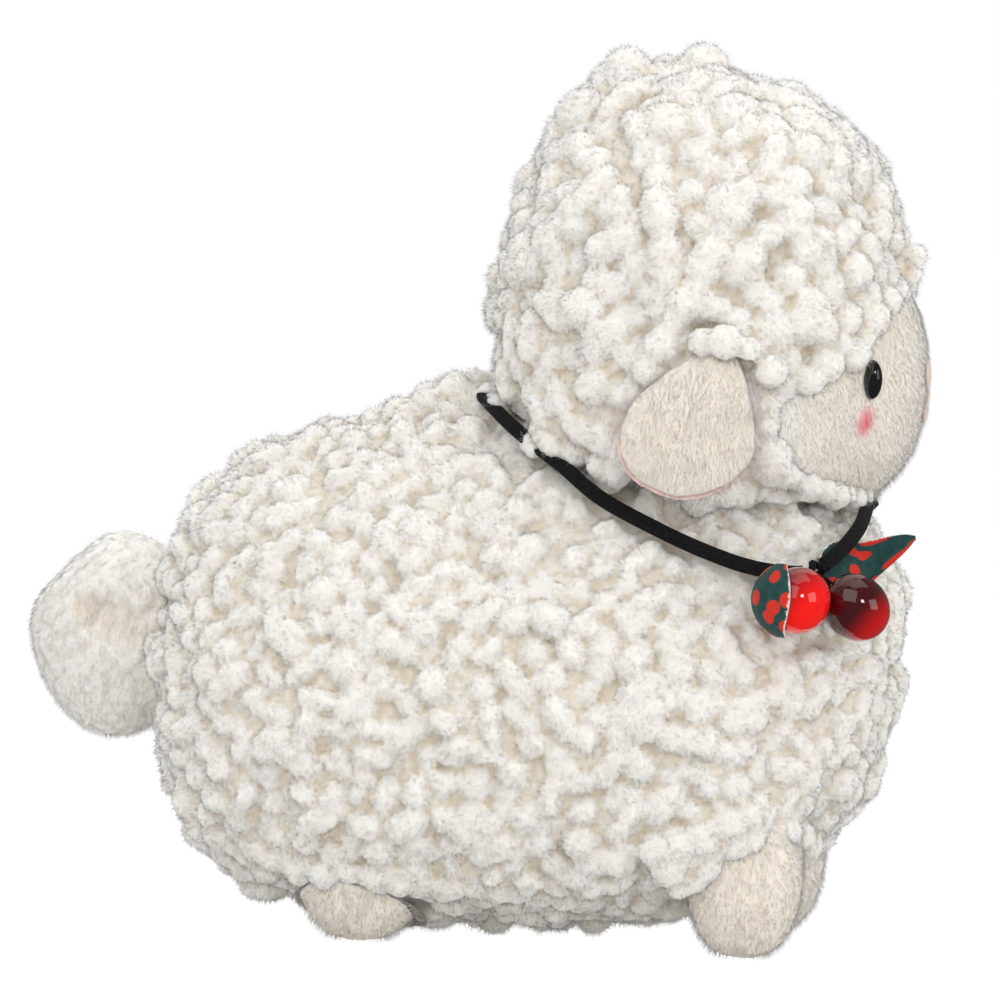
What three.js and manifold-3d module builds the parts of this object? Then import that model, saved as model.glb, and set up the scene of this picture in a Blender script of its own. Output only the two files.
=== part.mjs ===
// Plush sheep, standing on four short feet and looking ahead, with a black lace round its neck
// that carries two glossy cherries and two cloth leaves. Sizes are in millimetres and angles in
// degrees. +X is towards the nose, +Z is up, and the sheep's right side is on -Y.
// The pieces are laid out about the middle of the body, and the finished group is then moved along X,
// so that its origin is on the floor under the middle of the whole toy.

import * as THREE from 'three';
import { ConvexGeometry } from 'three/addons/geometries/ConvexGeometry.js';
import { mergeVertices } from 'three/addons/utils/BufferGeometryUtils.js';
import Module from 'manifold-3d';

const wasm = await Module();
wasm.setup();

// Body: one fleece cover with its stuffing
const bodyLength = 211;
const bodyWidth = 148;
const bodyHeight = 150;
const bodyRoundness = 2.75; // 2 is a plain ball, and more is boxier
const shoulderTaperShare = 0.3; // how much narrower the top of the body is than its middle
const backSlopeShare = 0.05; // how far the body climbs from rump to chest
const bellyClearance = 2.2;
const fleeceThickness = 6; // backing and curled pile together
const tuftSpacing = 21; // between the main tufts that the curls stand in, on the body and the head
const tuftDepth = 3; // how far the fleece dips between them
const tuftFlatReach = 12; // the fleece lies flat this far round what is sewn or tied on

// Head: a fleece hood, a short-pile face panel in its window, and the stuffing behind both
const headLength = 117;
const headWidth = 132;
const headHeight = 149;
const headRoundness = 2.4;
const headForward = 48.5; // from the middle of the body
const headSink = 53; // how far the head reaches down past the top of the body
const faceLength = 83;
const faceWidth = 90;
const faceHeight = 82;
const faceRoundness = 2.3;
const faceForward = 21.5; // from the middle of the head
const faceDrop = 12.5;
const windowLength = 158; // the ball that cuts the hairline out of the hood
const windowWidth = 194;
const windowHeight = 86;
const windowForward = 87.5;
const windowDrop = 25.5;
const neckHoleDiameter = 56;
const plushThickness = 2.4; // backing and short pile together

// Ears: a plush back and a thin lining, sewn to the side of the head at the root
const earLength = 43;
const earWidth = 38;
const earRoundness = 2.3;
const earShoulderShare = 0.6; // how far along the ear it is as wide as it gets
const earBackThickness = 4.4;
const earLiningThickness = 2.2;
const earRootShare = 0.6; // root width as a share of the ear's width
const earLiningEdge = 1; // how far the lining shows past the back at the tip
const earForward = 13; // from the middle of the head to the root
const earDrop = 7;
const earSweepAngle = 21;
const earLiftAngle = 90;
const earBend = 3; // how far the tip curls away from the head

// Face details
const eyeWidth = 6.5;
const eyeHeight = 11;
const eyeDome = 3.2;
const eyeSpacing = 71;
const eyeDrop = 1; // below the middle of the face
const stemDiameter = 3;
const stemLength = 8;
const washerDiameter = 10;
const washerThickness = 1.5;
const washerSink = 1.5; // its face lies this far behind the plush, so that its rim stays clear
const noseWidth = 13;
const noseHeight = 8;
const noseRise = 1; // above the middle of the face
const mouthRadius = 5.5;
const mouthDrop = 11;
const smileHalfAngle = 65; // how far the smile's arc runs to each side of its bottom
const stitchWidth = 1.4;
const stitchThickness = 0.8;

// Tail: a plush pouch with its own stuffing, sewn to the rump along its front edge
const tailLength = 46;
const tailWidth = 43;
const tailHeight = 61;
const tailRoundness = 2.1;
const tailRise = 81; // middle of the tail above the floor
const tailReach = 36; // how far it stands out past the rump
const tailTaperShare = 0.05;
const tailLeanAngle = 3;
const tailWagAngle = 20;
const tailOpening = 14;

// Feet: four plush cups with their own stuffing
const footLength = 33;
const footWidth = 34;
const footHeight = 50;
const rearFootLength = 38;
const footRoundness = 2.4;
const footFlat = 0.5; // how deep the sole is pressed flat
const frontFootForward = 68.5;
const rearFootBack = 38;
const footInset = 35; // from the body's widest place in to the middle of a foot

// Necklace: a flat lace laid round the neck, a knot, two beads on stems, and two cloth leaves
const laceWidth = 4.2;
const laceThickness = 2;
const knotDiameter = 6;
const beadDiameter = 17.6;
const beadLength = 19.6;
const beadStemDiameter = 2.6;
const beadBoreDepth = 4;
const nearBeadAlong = -11; // along the chest from the knot, positive towards the nose
const nearBeadOut = 9.6; // away from the chest
const nearBeadDown = 7.7;
const farBeadAlong = 7.8;
const farBeadOut = 8.8;
const farBeadDown = 9.4;
const beadSwingAngle = 60;
const leafThickness = 0.9;
const nearLeafWidth = 22; // the cup that the near leaf makes round its bead
const nearLeafDepth = 20.8;
const nearLeafHeight = 20.8;
const nearLeafShift = 1.2; // the cup's middle from the bead's, towards the lace
const farLeafLength = 32;
const farLeafWidth = 16;
const farLeafClimbAngle = 20;
const farLeafHugShare = 0.65; // how much of the leaf lies on the chest before its tip stands off

// How closely pieces lie, and how far a cutter runs past what it cuts
const seat = 0.3;
const overrun = 20;

const up = new THREE.Vector3(0, 0, 1);
const forward = new THREE.Vector3(1, 0, 0);
const sideways = new THREE.Vector3(0, 1, 0);
const rad = THREE.MathUtils.degToRad;
const thinFacetCount = 12; // flats round a thin rod
const wideFacetCount = 24; // flats round a wide one
const sides = { right: -1, left: 1 };

// Solids

// A closed geometry as a solid that can be cut and joined.
function solidOf(geometry) {
  const bare = geometry.clone();
  bare.deleteAttribute('normal');
  bare.deleteAttribute('uv');
  const merged = mergeVertices(bare);
  return new wasm.Manifold(new wasm.Mesh({
    numProp: 3,
    vertProperties: new Float32Array(merged.attributes.position.array),
    triVerts: new Uint32Array(merged.index.array),
  }));
}

// A solid's surface as a geometry about an anchor point.
function geometryOf(solid, anchor) {
  const mesh = solid.getMesh();
  const points = new Float32Array(mesh.numVert * 3);
  for (let i = 0; i < mesh.numVert; i++) {
    points.set(mesh.vertProperties.subarray(i * mesh.numProp, i * mesh.numProp + 3), i * 3);
  }
  const geometry = new THREE.BufferGeometry();
  geometry.setAttribute('position', new THREE.BufferAttribute(points, 3));
  geometry.setIndex(new THREE.BufferAttribute(new Uint32Array(mesh.triVerts), 1));
  geometry.translate(-anchor.x, -anchor.y, -anchor.z);
  return geometry;
}

// The biggest body of a solid, without the slivers that a cut leaves beside it.
function mainBody(solid) {
  const bodies = solid.decompose();
  return bodies.reduce((most, body) => (body.volume() > most.volume() ? body : most));
}

// A named mesh that stands at its anchor, made from a solid in the toy's own frame.
function piece(name, solid, material, anchor) {
  const mesh = new THREE.Mesh(geometryOf(solid, anchor), material);
  mesh.name = name;
  mesh.position.copy(anchor);
  mesh.geometry.computeVertexNormals();
  return mesh;
}

// Moves every point of a geometry with a function that changes a vector in place.
function reshape(geometry, change) {
  const at = geometry.attributes.position;
  const point = new THREE.Vector3();
  for (let i = 0; i < at.count; i++) {
    point.fromBufferAttribute(at, i);
    change(point);
    at.setXYZ(i, point.x, point.y, point.z);
  }
  return geometry;
}

// A ball of radius 1 whose points are spread evenly along a spiral from end to end.
function spiralBall(pointCount) {
  const goldenAngle = Math.PI * (3 - Math.sqrt(5));
  const points = [];
  for (let i = 0; i < pointCount; i++) {
    const height = 1 - (2 * i + 1) / pointCount;
    const radius = Math.sqrt(1 - height ** 2);
    const turn = goldenAngle * i;
    points.push(new THREE.Vector3(radius * Math.cos(turn), height, radius * Math.sin(turn)));
  }
  return new ConvexGeometry(points);
}

// A ball of radius 1 puffed towards a cube by a roundness.
function puffed(ball, roundness) {
  return reshape(ball, (p) => {
    const size = Math.abs(p.x) ** roundness + Math.abs(p.y) ** roundness + Math.abs(p.z) ** roundness;
    p.multiplyScalar(size ** (-1 / roundness));
  });
}

// A stuffed form has a centre, half sizes and a roundness, and can be grown or shrunk all round. Its
// surface can dip towards its centre, by a function of the place from there.
function stuffedForm(form, grow = 0, dip = () => 0) {
  const half = form.half.clone().addScalar(grow);
  const ball = form.pointCount
    ? spiralBall(form.pointCount)
    : new THREE.SphereGeometry(1, form.turns, form.rows);
  const skin = reshape(puffed(ball, form.roundness), (p) => {
    p.multiply(half);
    if (form.shape) form.shape(p, half);
    p.setLength(p.length() - dip(p));
  });
  return solidOf(skin.translate(form.centre.x, form.centre.y, form.centre.z));
}

// The dip of the fleece between its main tufts, which stand where crossed waves meet. Round flat
// places there is none.
function fleeceDip(form, flatPlaces) {
  const waveLength = tuftSpacing * Math.SQRT2;
  const [levelShare, fullSwing] = [0.5, 2.4]; // the waves together swing about 1.2 either way
  return (p) => {
    const { x, y, z } = p.clone().multiplyScalar(2 * Math.PI / waveLength);
    const waves = Math.sin(x) * Math.cos(y) + Math.sin(y) * Math.cos(z) + Math.sin(z) * Math.cos(x);
    const dipShare = THREE.MathUtils.clamp(levelShare - waves / fullSwing, 0, 1);
    const toFlat = Math.min(...flatPlaces.map((flat) => flat.clone().sub(form.centre).distanceTo(p)));
    return tuftDepth * dipShare * THREE.MathUtils.smoothstep(toFlat, tuftFlatReach, 2 * tuftFlatReach);
  };
}

// A rod from one point to another.
function rod(from, to, diameter, flats = thinFacetCount) {
  const reach = to.clone().sub(from);
  const geometry = new THREE.CylinderGeometry(diameter / 2, diameter / 2, reach.length(), flats);
  geometry.applyQuaternion(new THREE.Quaternion().setFromUnitVectors(sideways, reach.clone().normalize()));
  const middle = from.clone().add(to).multiplyScalar(1 / 2);
  return solidOf(geometry.translate(middle.x, middle.y, middle.z));
}

// A solid turned about an axis through a point.
function turned(solid, axis, point, degrees) {
  const matrix = new THREE.Matrix4().makeTranslation(point.x, point.y, point.z);
  matrix.multiply(new THREE.Matrix4().makeRotationAxis(axis, rad(degrees)));
  matrix.multiply(new THREE.Matrix4().makeTranslation(-point.x, -point.y, -point.z));
  return solid.transform(matrix.elements);
}

// A moving solid with room cut for a fixed one at every step of its travel.
function clearedThrough(moving, fixed, hinge, from, to, steps) {
  let cleared = moving;
  for (let i = 0; i <= steps; i++) {
    const angle = from + (to - from) * i / steps;
    cleared = cleared.subtract(turned(fixed, hinge.axis, hinge.point, -angle));
  }
  return cleared;
}

// Forms

const bodyForm = {
  centre: new THREE.Vector3(0, 0, bellyClearance + bodyHeight / 2),
  half: new THREE.Vector3(bodyLength / 2, bodyWidth / 2, bodyHeight / 2),
  roundness: bodyRoundness,
  pointCount: 820,
  shape: (p, half) => {
    p.y *= 1 - shoulderTaperShare * Math.max(p.z / half.z, 0);
    p.z += backSlopeShare * p.x;
  },
};

// Less than 1 inside the body, 1 on its surface and more outside.
function bodyMeasure(point) {
  const p = point.clone().sub(bodyForm.centre);
  p.z -= backSlopeShare * p.x;
  p.y /= 1 - shoulderTaperShare * Math.max(p.z / bodyForm.half.z, 0);
  p.divide(bodyForm.half);
  return Math.abs(p.x) ** bodyRoundness + Math.abs(p.y) ** bodyRoundness + Math.abs(p.z) ** bodyRoundness;
}

// The point where a ray from inside the body leaves it.
function bodyExit(from, direction) {
  let near = 0;
  let far = bodyLength;
  const halvingCount = 40;
  for (let i = 0; i < halvingCount; i++) {
    const middle = (near + far) / 2;
    if (bodyMeasure(from.clone().addScaledVector(direction, middle)) < 1) near = middle;
    else far = middle;
  }
  return from.clone().addScaledVector(direction, near);
}

// The outward direction of a level surface of a measure at a point.
function outwardOf(measure, point) {
  const step = seat / 10;
  const slope = new THREE.Vector3();
  for (const [name, axis] of [['x', forward], ['y', sideways], ['z', up]]) {
    slope[name] = measure(point.clone().addScaledVector(axis, step))
      - measure(point.clone().addScaledVector(axis, -step));
  }
  return slope.normalize();
}

const headForm = {
  centre: new THREE.Vector3(headForward, 0, bellyClearance + bodyHeight - headSink + headHeight / 2),
  half: new THREE.Vector3(headLength / 2, headWidth / 2, headHeight / 2),
  roundness: headRoundness,
  pointCount: 560,
};

const faceForm = {
  centre: headForm.centre.clone().add(new THREE.Vector3(faceForward, 0, -faceDrop)),
  half: new THREE.Vector3(faceLength / 2, faceWidth / 2, faceHeight / 2),
  roundness: faceRoundness,
  turns: 18,
  rows: 14,
};

const windowForm = {
  centre: headForm.centre.clone().add(new THREE.Vector3(windowForward, 0, -windowDrop)),
  half: new THREE.Vector3(windowLength / 2, windowWidth / 2, windowHeight / 2),
  roundness: 2,
  turns: 24,
  rows: 12,
};

// Less than 1 inside a plain stuffed form and more outside.
function formMeasure(form, point) {
  const p = point.clone().sub(form.centre).divide(form.half);
  return Math.abs(p.x) ** form.roundness + Math.abs(p.y) ** form.roundness + Math.abs(p.z) ** form.roundness;
}

// The half size that is left along one axis of a plain stuffed form at given places on the other two.
function halfLeft(form, along, across, acrossAt, upright, uprightAt) {
  const used = Math.abs((acrossAt - form.centre[across]) / form.half[across]) ** form.roundness
    + Math.abs((uprightAt - form.centre[upright]) / form.half[upright]) ** form.roundness;
  return form.half[along] * Math.max(1 - used, 0) ** (1 / form.roundness);
}

const colours = {
  fleece: new THREE.MeshStandardMaterial({ color: 0xf3f0ea, roughness: 0.95, metalness: 0 }),
  plush: new THREE.MeshStandardMaterial({ color: 0xe9dfcf, roughness: 0.95, metalness: 0 }),
  tail: new THREE.MeshStandardMaterial({ color: 0xf0ece4, roughness: 0.95, metalness: 0 }),
  lining: new THREE.MeshStandardMaterial({ color: 0xf4cfc8, roughness: 0.9, metalness: 0 }),
  stuffing: new THREE.MeshStandardMaterial({ color: 0xfafafa, roughness: 1, metalness: 0 }),
  eye: new THREE.MeshStandardMaterial({ color: 0x0a0a0b, roughness: 0.2, metalness: 0 }),
  washer: new THREE.MeshStandardMaterial({ color: 0xe6e6e2, roughness: 0.6, metalness: 0 }),
  thread: new THREE.MeshStandardMaterial({ color: 0xb98476, roughness: 0.8, metalness: 0 }),
  lace: new THREE.MeshStandardMaterial({ color: 0x0b0b0c, roughness: 0.7, metalness: 0 }),
  bead: new THREE.MeshStandardMaterial({ color: 0xb80f12, roughness: 0.05, metalness: 0 }),
  farBead: new THREE.MeshStandardMaterial({ color: 0x6d0b12, roughness: 0.05, metalness: 0 }),
  leaf: new THREE.MeshStandardMaterial({ color: 0x1b4a46, roughness: 0.7, metalness: 0 }),
};

const sheep = new THREE.Group();

// Body

const bodyClear = stuffedForm(bodyForm, seat);
const neckFoot = new THREE.Vector3(headForm.centre.x, 0, bodyForm.centre.z);
const neckHole = rod(neckFoot, headForm.centre, neckHoleDiameter, wideFacetCount);
const neckPlug = rod(neckFoot, headForm.centre, neckHoleDiameter - 2 * seat, wideFacetCount);

function makeBody() {
  const body = new THREE.Group();
  const insideForm = { ...bodyForm, pointCount: 200 };
  const inside = stuffedForm(insideForm, -fleeceThickness);
  const stuffing = stuffedForm(insideForm, -fleeceThickness - seat);
  const footTops = [frontFootForward, -rearFootBack].flatMap((forwardAt) => (
    Object.values(sides).map((side) => footForm(forwardAt, side, footLength).centre)));
  const rump = new THREE.Vector3(-bodyLength / 2, 0, tailRise);
  const dip = fleeceDip(bodyForm, [...footTops, rump, knotFoot.point]);
  const cover = stuffedForm(bodyForm, 0, dip).subtract(inside).subtract(neckHole);
  const neckStuffing = stuffedForm(bodyForm, 2 * seat).intersect(neckPlug);
  body.add(piece('body_cover', cover, colours.fleece, bodyForm.centre));
  body.add(piece('body_stuffing', stuffing.add(neckStuffing), colours.stuffing, bodyForm.centre));
  return body;
}

// Feet

function footForm(forwardAt, side, length) {
  return {
    centre: new THREE.Vector3(forwardAt, side * (bodyWidth / 2 - footInset), footHeight / 2 - footFlat),
    half: new THREE.Vector3(length / 2, footWidth / 2, footHeight / 2),
    roundness: footRoundness,
    turns: 14,
    rows: 10,
  };
}

const underFloor = solidOf(new THREE.BoxGeometry(2 * bodyLength, 2 * bodyWidth, overrun)
  .translate(0, 0, -overrun / 2));

function makeFoot(name, forwardAt, side, length) {
  const foot = new THREE.Group();
  const form = footForm(forwardAt, side, length);
  const sole = new THREE.Vector3(form.centre.x, form.centre.y, 0);
  const inside = stuffedForm(form, -plushThickness);
  const cover = stuffedForm(form).subtract(inside).subtract(bodyClear).subtract(underFloor);
  const stuffing = stuffedForm(form, -plushThickness - seat).subtract(stuffedForm(bodyForm, 2 * seat));
  foot.add(piece(`${name}_cover`, cover, colours.plush, sole));
  foot.add(piece(`${name}_stuffing`, stuffing, colours.stuffing, sole));
  return foot;
}

// Head

// The face bulges out of the head, and its cheeks lie lower than the hood by the fleece's pile. This
// is both together, at a depth below the face's surface.
function faceUnder(depth) {
  const cheeks = stuffedForm(headForm, plushThickness - fleeceThickness - depth);
  return stuffedForm(faceForm, -depth).add(cheeks);
}

// Each eye sits on the face where the spacing puts it, and looks straight out from there.
function eyePlace(side) {
  const place = new THREE.Vector3(0, side * eyeSpacing / 2, faceForm.centre.z - eyeDrop);
  place.x = faceForm.centre.x + halfLeft(faceForm, 'x', 'y', place.y, 'z', place.z);
  return { place, out: outwardOf((p) => formMeasure(faceForm, p), place) };
}

function makeEye(name, side) {
  const eye = new THREE.Group();
  const { place, out } = eyePlace(side);
  const turn = new THREE.Quaternion().setFromUnitVectors(forward, out);
  const [turns, rows] = [12, 8];
  const dome = new THREE.SphereGeometry(1, turns, rows);
  dome.scale(eyeDome + seat, eyeWidth / 2, eyeHeight / 2);
  dome.applyQuaternion(turn).translate(place.x, place.y, place.z);
  const stemEnd = place.clone().addScaledVector(out, -stemLength);
  const stemStart = place.clone().addScaledVector(out, eyeDome / 2);
  const stem = rod(stemStart, stemEnd, stemDiameter);
  const cap = solidOf(dome).subtract(faceUnder(-seat)).add(stem);
  const washerDepth = plushThickness + washerSink;
  const washerFace = place.clone().addScaledVector(out, -washerDepth);
  const washerBack = place.clone().addScaledVector(out, -washerDepth - washerThickness);
  const washer = rod(washerFace, washerBack, washerDiameter, wideFacetCount)
    .subtract(rod(place, stemEnd, stemDiameter + 2 * seat));
  eye.add(piece(name, cap, colours.eye, place));
  eye.add(piece(`${name}_washer`, washer, colours.washer, washerFace));
  return eye;
}

// What the stuffing gives up round an eye's stem and washer.
function eyeRoom(side) {
  const { place, out } = eyePlace(side);
  const deepest = place.clone().addScaledVector(out, -stemLength - seat);
  return rod(place, deepest, washerDiameter + 2 * seat, wideFacetCount);
}

function eyeHole(side) {
  const { place, out } = eyePlace(side);
  const before = place.clone().addScaledVector(out, overrun / 4);
  const behind = place.clone().addScaledVector(out, -stemLength);
  return rod(before, behind, stemDiameter + 2 * seat);
}

// A flat outline in Y and Z that is laid on the front of the face as raised stitching.
function stitched(shapes) {
  const raised = faceUnder(-seat - stitchThickness).subtract(faceUnder(-seat));
  const prisms = shapes.map((shape) => {
    const options = { depth: faceLength, bevelEnabled: false, curveSegments: 8 };
    const prism = new THREE.ExtrudeGeometry(shape, options).rotateX(Math.PI / 2).rotateZ(Math.PI / 2);
    return solidOf(prism.translate(faceForm.centre.x, 0, faceForm.centre.z));
  });
  return raised.intersect(prisms.reduce((joined, prism) => joined.add(prism)));
}

// A rounded triangle with its point down.
function noseShape() {
  const shape = new THREE.Shape();
  const half = noseWidth / 2;
  shape.moveTo(0, noseRise - noseHeight / 2);
  shape.quadraticCurveTo(half, noseRise - noseHeight / 4, half, noseRise + noseHeight / 4);
  shape.quadraticCurveTo(half, noseRise + noseHeight / 2, 0, noseRise + noseHeight / 2);
  shape.quadraticCurveTo(-half, noseRise + noseHeight / 2, -half, noseRise + noseHeight / 4);
  shape.quadraticCurveTo(-half, noseRise - noseHeight / 4, 0, noseRise - noseHeight / 2);
  return shape;
}

// A short upright stitch over a smile.
function mouthShapes() {
  const upright = new THREE.Shape();
  const top = noseRise - noseHeight / 2 - seat;
  const half = stitchWidth / 2;
  upright.moveTo(-half, top);
  upright.lineTo(-half, -mouthDrop);
  upright.lineTo(half, -mouthDrop);
  upright.lineTo(half, top);
  const smile = new THREE.Shape();
  const smileCentre = mouthRadius - half - mouthDrop;
  const [from, to] = [rad(-90 - smileHalfAngle), rad(-90 + smileHalfAngle)];
  smile.absarc(0, smileCentre, mouthRadius, from, to, false);
  smile.absarc(0, smileCentre, mouthRadius - stitchWidth, to, from, true);
  return [upright, smile];
}

function makeHead() {
  const head = new THREE.Group();
  const laceRoom = laceTube(seat);
  const earRoots = Object.values(sides).map(earRoot);
  const hood = stuffedForm(headForm, 0, fleeceDip(headForm, earRoots))
    .subtract(stuffedForm(headForm, -fleeceThickness))
    .subtract(stuffedForm(faceForm, seat))
    .subtract(stuffedForm(windowForm, seat))
    .subtract(bodyClear)
    .subtract(laceRoom);
  const panel = faceUnder(0)
    .subtract(faceUnder(plushThickness))
    .intersect(stuffedForm(windowForm))
    .subtract(bodyClear)
    .subtract(laceRoom)
    .subtract(eyeHole(sides.right))
    .subtract(eyeHole(sides.left));
  const stuffing = faceUnder(plushThickness + seat)
    .subtract(stuffedForm(bodyForm, 3 * seat))
    .subtract(laceRoom)
    .subtract(eyeRoom(sides.right))
    .subtract(eyeRoom(sides.left));
  head.add(piece('head_cover', mainBody(hood), colours.fleece, headForm.centre));
  head.add(piece('face_panel', panel, colours.plush, faceForm.centre));
  head.add(piece('head_stuffing', stuffing, colours.stuffing, headForm.centre));
  head.add(piece('nose_stitching', stitched([noseShape()]), colours.thread, faceForm.centre));
  head.add(piece('mouth_stitching', stitched(mouthShapes()), colours.thread, faceForm.centre));
  for (const [name, side] of Object.entries(sides)) head.add(makeEye(`eye_${name}`, side));
  return head;
}

// Ears

// One layer of an ear, root at the top and tip down, about the middle of the root. Its flat face is
// on the seam, and it swells to the outward side, away from the head, or to the other. The ball is
// mirrored along the root, where that keeps its faces pointing out.
function earLayer(side, thickness, outward, extra) {
  const [turns, rows] = [14, 12];
  const layer = puffed(new THREE.SphereGeometry(1, turns, rows), earRoundness);
  const length = earLength + extra;
  return reshape(layer, (p) => {
    const along = (1 - p.y) / 2;
    const spread = THREE.MathUtils.smoothstep(along, 0, earShoulderShare);
    const width = (earWidth + 2 * extra) * (earRootShare + (1 - earRootShare) * spread);
    const swell = Math.max(p.z * outward, 0) * thickness + seat / 2;
    const away = outward * swell + earBend * along ** 2;
    p.set(-side * p.x * width / 2, side * away, -along * length);
  });
}

// The middle of an ear's root, beside the head.
function earRoot(side) {
  const root = headForm.centre.clone().add(new THREE.Vector3(earForward, 0, -earDrop));
  const headSide = halfLeft(headForm, 'y', 'x', root.x, 'z', root.z);
  return root.setY(side * (headSide + earLiningThickness + 2 * seat));
}

function makeEar(name, side) {
  const ear = new THREE.Group();
  const root = earRoot(side);
  const hinge = { point: root, axis: forward.clone().applyAxisAngle(sideways, rad(earSweepAngle)) };
  hinge.axis.multiplyScalar(side);
  const layers = [['back', earBackThickness, 1, 0], ['lining', earLiningThickness, -1, earLiningEdge]];
  const head = stuffedForm(headForm, seat);
  const liftStepCount = 6;
  for (const [part, thickness, outward, extra] of layers) {
    const layer = earLayer(side, thickness, outward, extra).rotateY(rad(earSweepAngle));
    const solid = solidOf(layer.translate(root.x, root.y, root.z));
    const colour = part === 'back' ? colours.plush : colours.lining;
    const cleared = clearedThrough(solid, head, hinge, 0, earLiftAngle, liftStepCount);
    ear.add(piece(`${name}_${part}`, cleared, colour, root));
  }
  ear.userData.joint = { name: `${name}_lift`, axis: hinge.axis, point: root, range: [0, earLiftAngle] };
  return ear;
}

// Tail

function makeTail() {
  const tail = new THREE.Group();
  const rumpward = new THREE.Vector3(-bodyLength / 2, 0, tailRise - bodyForm.centre.z);
  const rump = bodyExit(bodyForm.centre, rumpward.normalize());
  const form = {
    centre: new THREE.Vector3(rump.x - tailReach + tailLength / 2, 0, tailRise),
    half: new THREE.Vector3(tailLength / 2, tailWidth / 2, tailHeight / 2),
    roundness: tailRoundness,
    turns: 14,
    rows: 10,
    shape: (p, half) => {
      const share = 1 + tailTaperShare * p.z / half.z;
      p.set(p.x * share, p.y * share, p.z).applyAxisAngle(sideways, rad(-tailLeanAngle));
    },
  };
  const hinge = { point: rump.clone().setX(rump.x - 2 * seat), axis: up };
  const mouth = rod(form.centre, rump, tailOpening, wideFacetCount);
  const cover = stuffedForm(form).subtract(stuffedForm(form, -plushThickness)).subtract(mouth);
  const stuffing = stuffedForm(form, -plushThickness - seat);
  const wagStepCount = 8;
  const clearOf = (solid, gap) => {
    const rest = stuffedForm(bodyForm, gap);
    return clearedThrough(solid, rest, hinge, -tailWagAngle, tailWagAngle, wagStepCount);
  };
  tail.add(piece('tail_cover', clearOf(cover, seat), colours.tail, hinge.point));
  tail.add(piece('tail_stuffing', clearOf(stuffing, 2 * seat), colours.stuffing, hinge.point));
  const range = [-tailWagAngle, tailWagAngle];
  tail.userData.joint = { name: 'tail_wag', axis: up, point: hinge.point, range };
  return tail;
}

// Necklace

// The lace lies where rays from the foot of the neck leave the body. Each pair is a ray's turn from
// straight ahead, positive to the left, and its climb above level, from the knot round to the knot.
const laceRays = [
  [-53.5, 26], [-62, 26], [-72, 27.5], [-84, 31], [-98, 35.5], [-112, 39.5], [-125, 44], [-138, 46.5],
  [-155, 49], [-168, 50], [-180, 50.5], [-192, 50], [-205, 49], [-222, 46], [-238, 42.5],
  [-254, 38.5], [-270, 35], [-284, 33.5], [-298, 35], [-312, 38], [-327, 41.5], [-342, 44.5],
  [-356, 45.5], [-369, 45.5], [-382, 42], [-394, 36.5], [-404, 31], [-413.5, 26],
];
const laceStepCount = 60;
const laceFacetCount = 8;
const laceRayPoints = laceRays.map(([turn, climb]) => new THREE.Vector3(turn, climb, 0));
const laceRoute = new THREE.CatmullRomCurve3(laceRayPoints);
const farLeafShares = [0.88, 0.94]; // where the lace climbs on to the far leaf

function bodyPointAt(turn, climb) {
  const ray = forward.clone().applyAxisAngle(sideways, -rad(climb)).applyAxisAngle(up, rad(turn));
  const point = bodyExit(neckFoot, ray);
  return { point, out: outwardOf(bodyMeasure, point) };
}

// The middle of the lace at a share of its way round, with the outward direction there.
function lacePoint(share) {
  const angles = laceRoute.getPoint(share);
  const { point, out } = bodyPointAt(angles.x, angles.y);
  const onLeaf = THREE.MathUtils.smoothstep(share, ...farLeafShares) * (leafThickness + seat);
  return { point: point.addScaledVector(out, laceThickness / 2 + seat + onLeaf), out };
}

const knotFoot = bodyPointAt(...laceRays[0]);
const knotCentre = knotFoot.point.clone().addScaledVector(knotFoot.out, knotDiameter / 2 + seat);

// How far the lace has to stop short of the route's end, so that it ends on the knot's side.
function laceTrim(fromEnd) {
  const halvingCount = 30;
  let inside = 0;
  let outside = 4 / laceStepCount; // far enough to be off the knot
  for (let i = 0; i < halvingCount; i++) {
    const middle = (inside + outside) / 2;
    const { point } = lacePoint(fromEnd ? 1 - middle : middle);
    if (point.distanceTo(knotCentre) < knotDiameter / 2 + 2 * seat) inside = middle;
    else outside = middle;
  }
  return outside;
}

// A flat tube along the lace: rings of eight points, fanned shut at both ends.
function laceTube(grow = 0) {
  const points = [];
  const faces = [];
  const start = laceTrim(false);
  const span = 1 - laceTrim(true) - start;
  const shareAt = (i) => start + span * Math.min(Math.max(i, 0), laceStepCount) / laceStepCount;
  for (let i = 0; i <= laceStepCount; i++) {
    const { point, out } = lacePoint(shareAt(i));
    const along = lacePoint(shareAt(i + 1)).point.sub(lacePoint(shareAt(i - 1)).point).normalize();
    const across = out.clone().cross(along).normalize();
    for (let k = 0; k < laceFacetCount; k++) {
      const angle = 2 * Math.PI * k / laceFacetCount;
      const at = point.clone().addScaledVector(across, Math.cos(angle) * (laceWidth / 2 + grow));
      at.addScaledVector(out, Math.sin(angle) * (laceThickness / 2 + grow));
      points.push(at.x, at.y, at.z);
    }
  }
  for (let i = 0; i < laceStepCount; i++) {
    for (let k = 0; k < laceFacetCount; k++) {
      const a = i * laceFacetCount + k;
      const b = i * laceFacetCount + (k + 1) % laceFacetCount;
      faces.push(a, b, a + laceFacetCount, b, b + laceFacetCount, a + laceFacetCount);
    }
  }
  const last = laceStepCount * laceFacetCount;
  for (let k = 1; k < laceFacetCount - 1; k++) {
    faces.push(0, k + 1, k);
    faces.push(last, last + k, last + k + 1);
  }
  const geometry = new THREE.BufferGeometry();
  geometry.setAttribute('position', new THREE.Float32BufferAttribute(points, 3));
  geometry.setIndex(faces);
  return solidOf(geometry);
}

// The pendant hangs in a frame of its own: along the chest, out from it, and down.
const chestOut = knotFoot.out.clone().setZ(0).normalize();
const chestAlong = up.clone().cross(chestOut).normalize();

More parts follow.
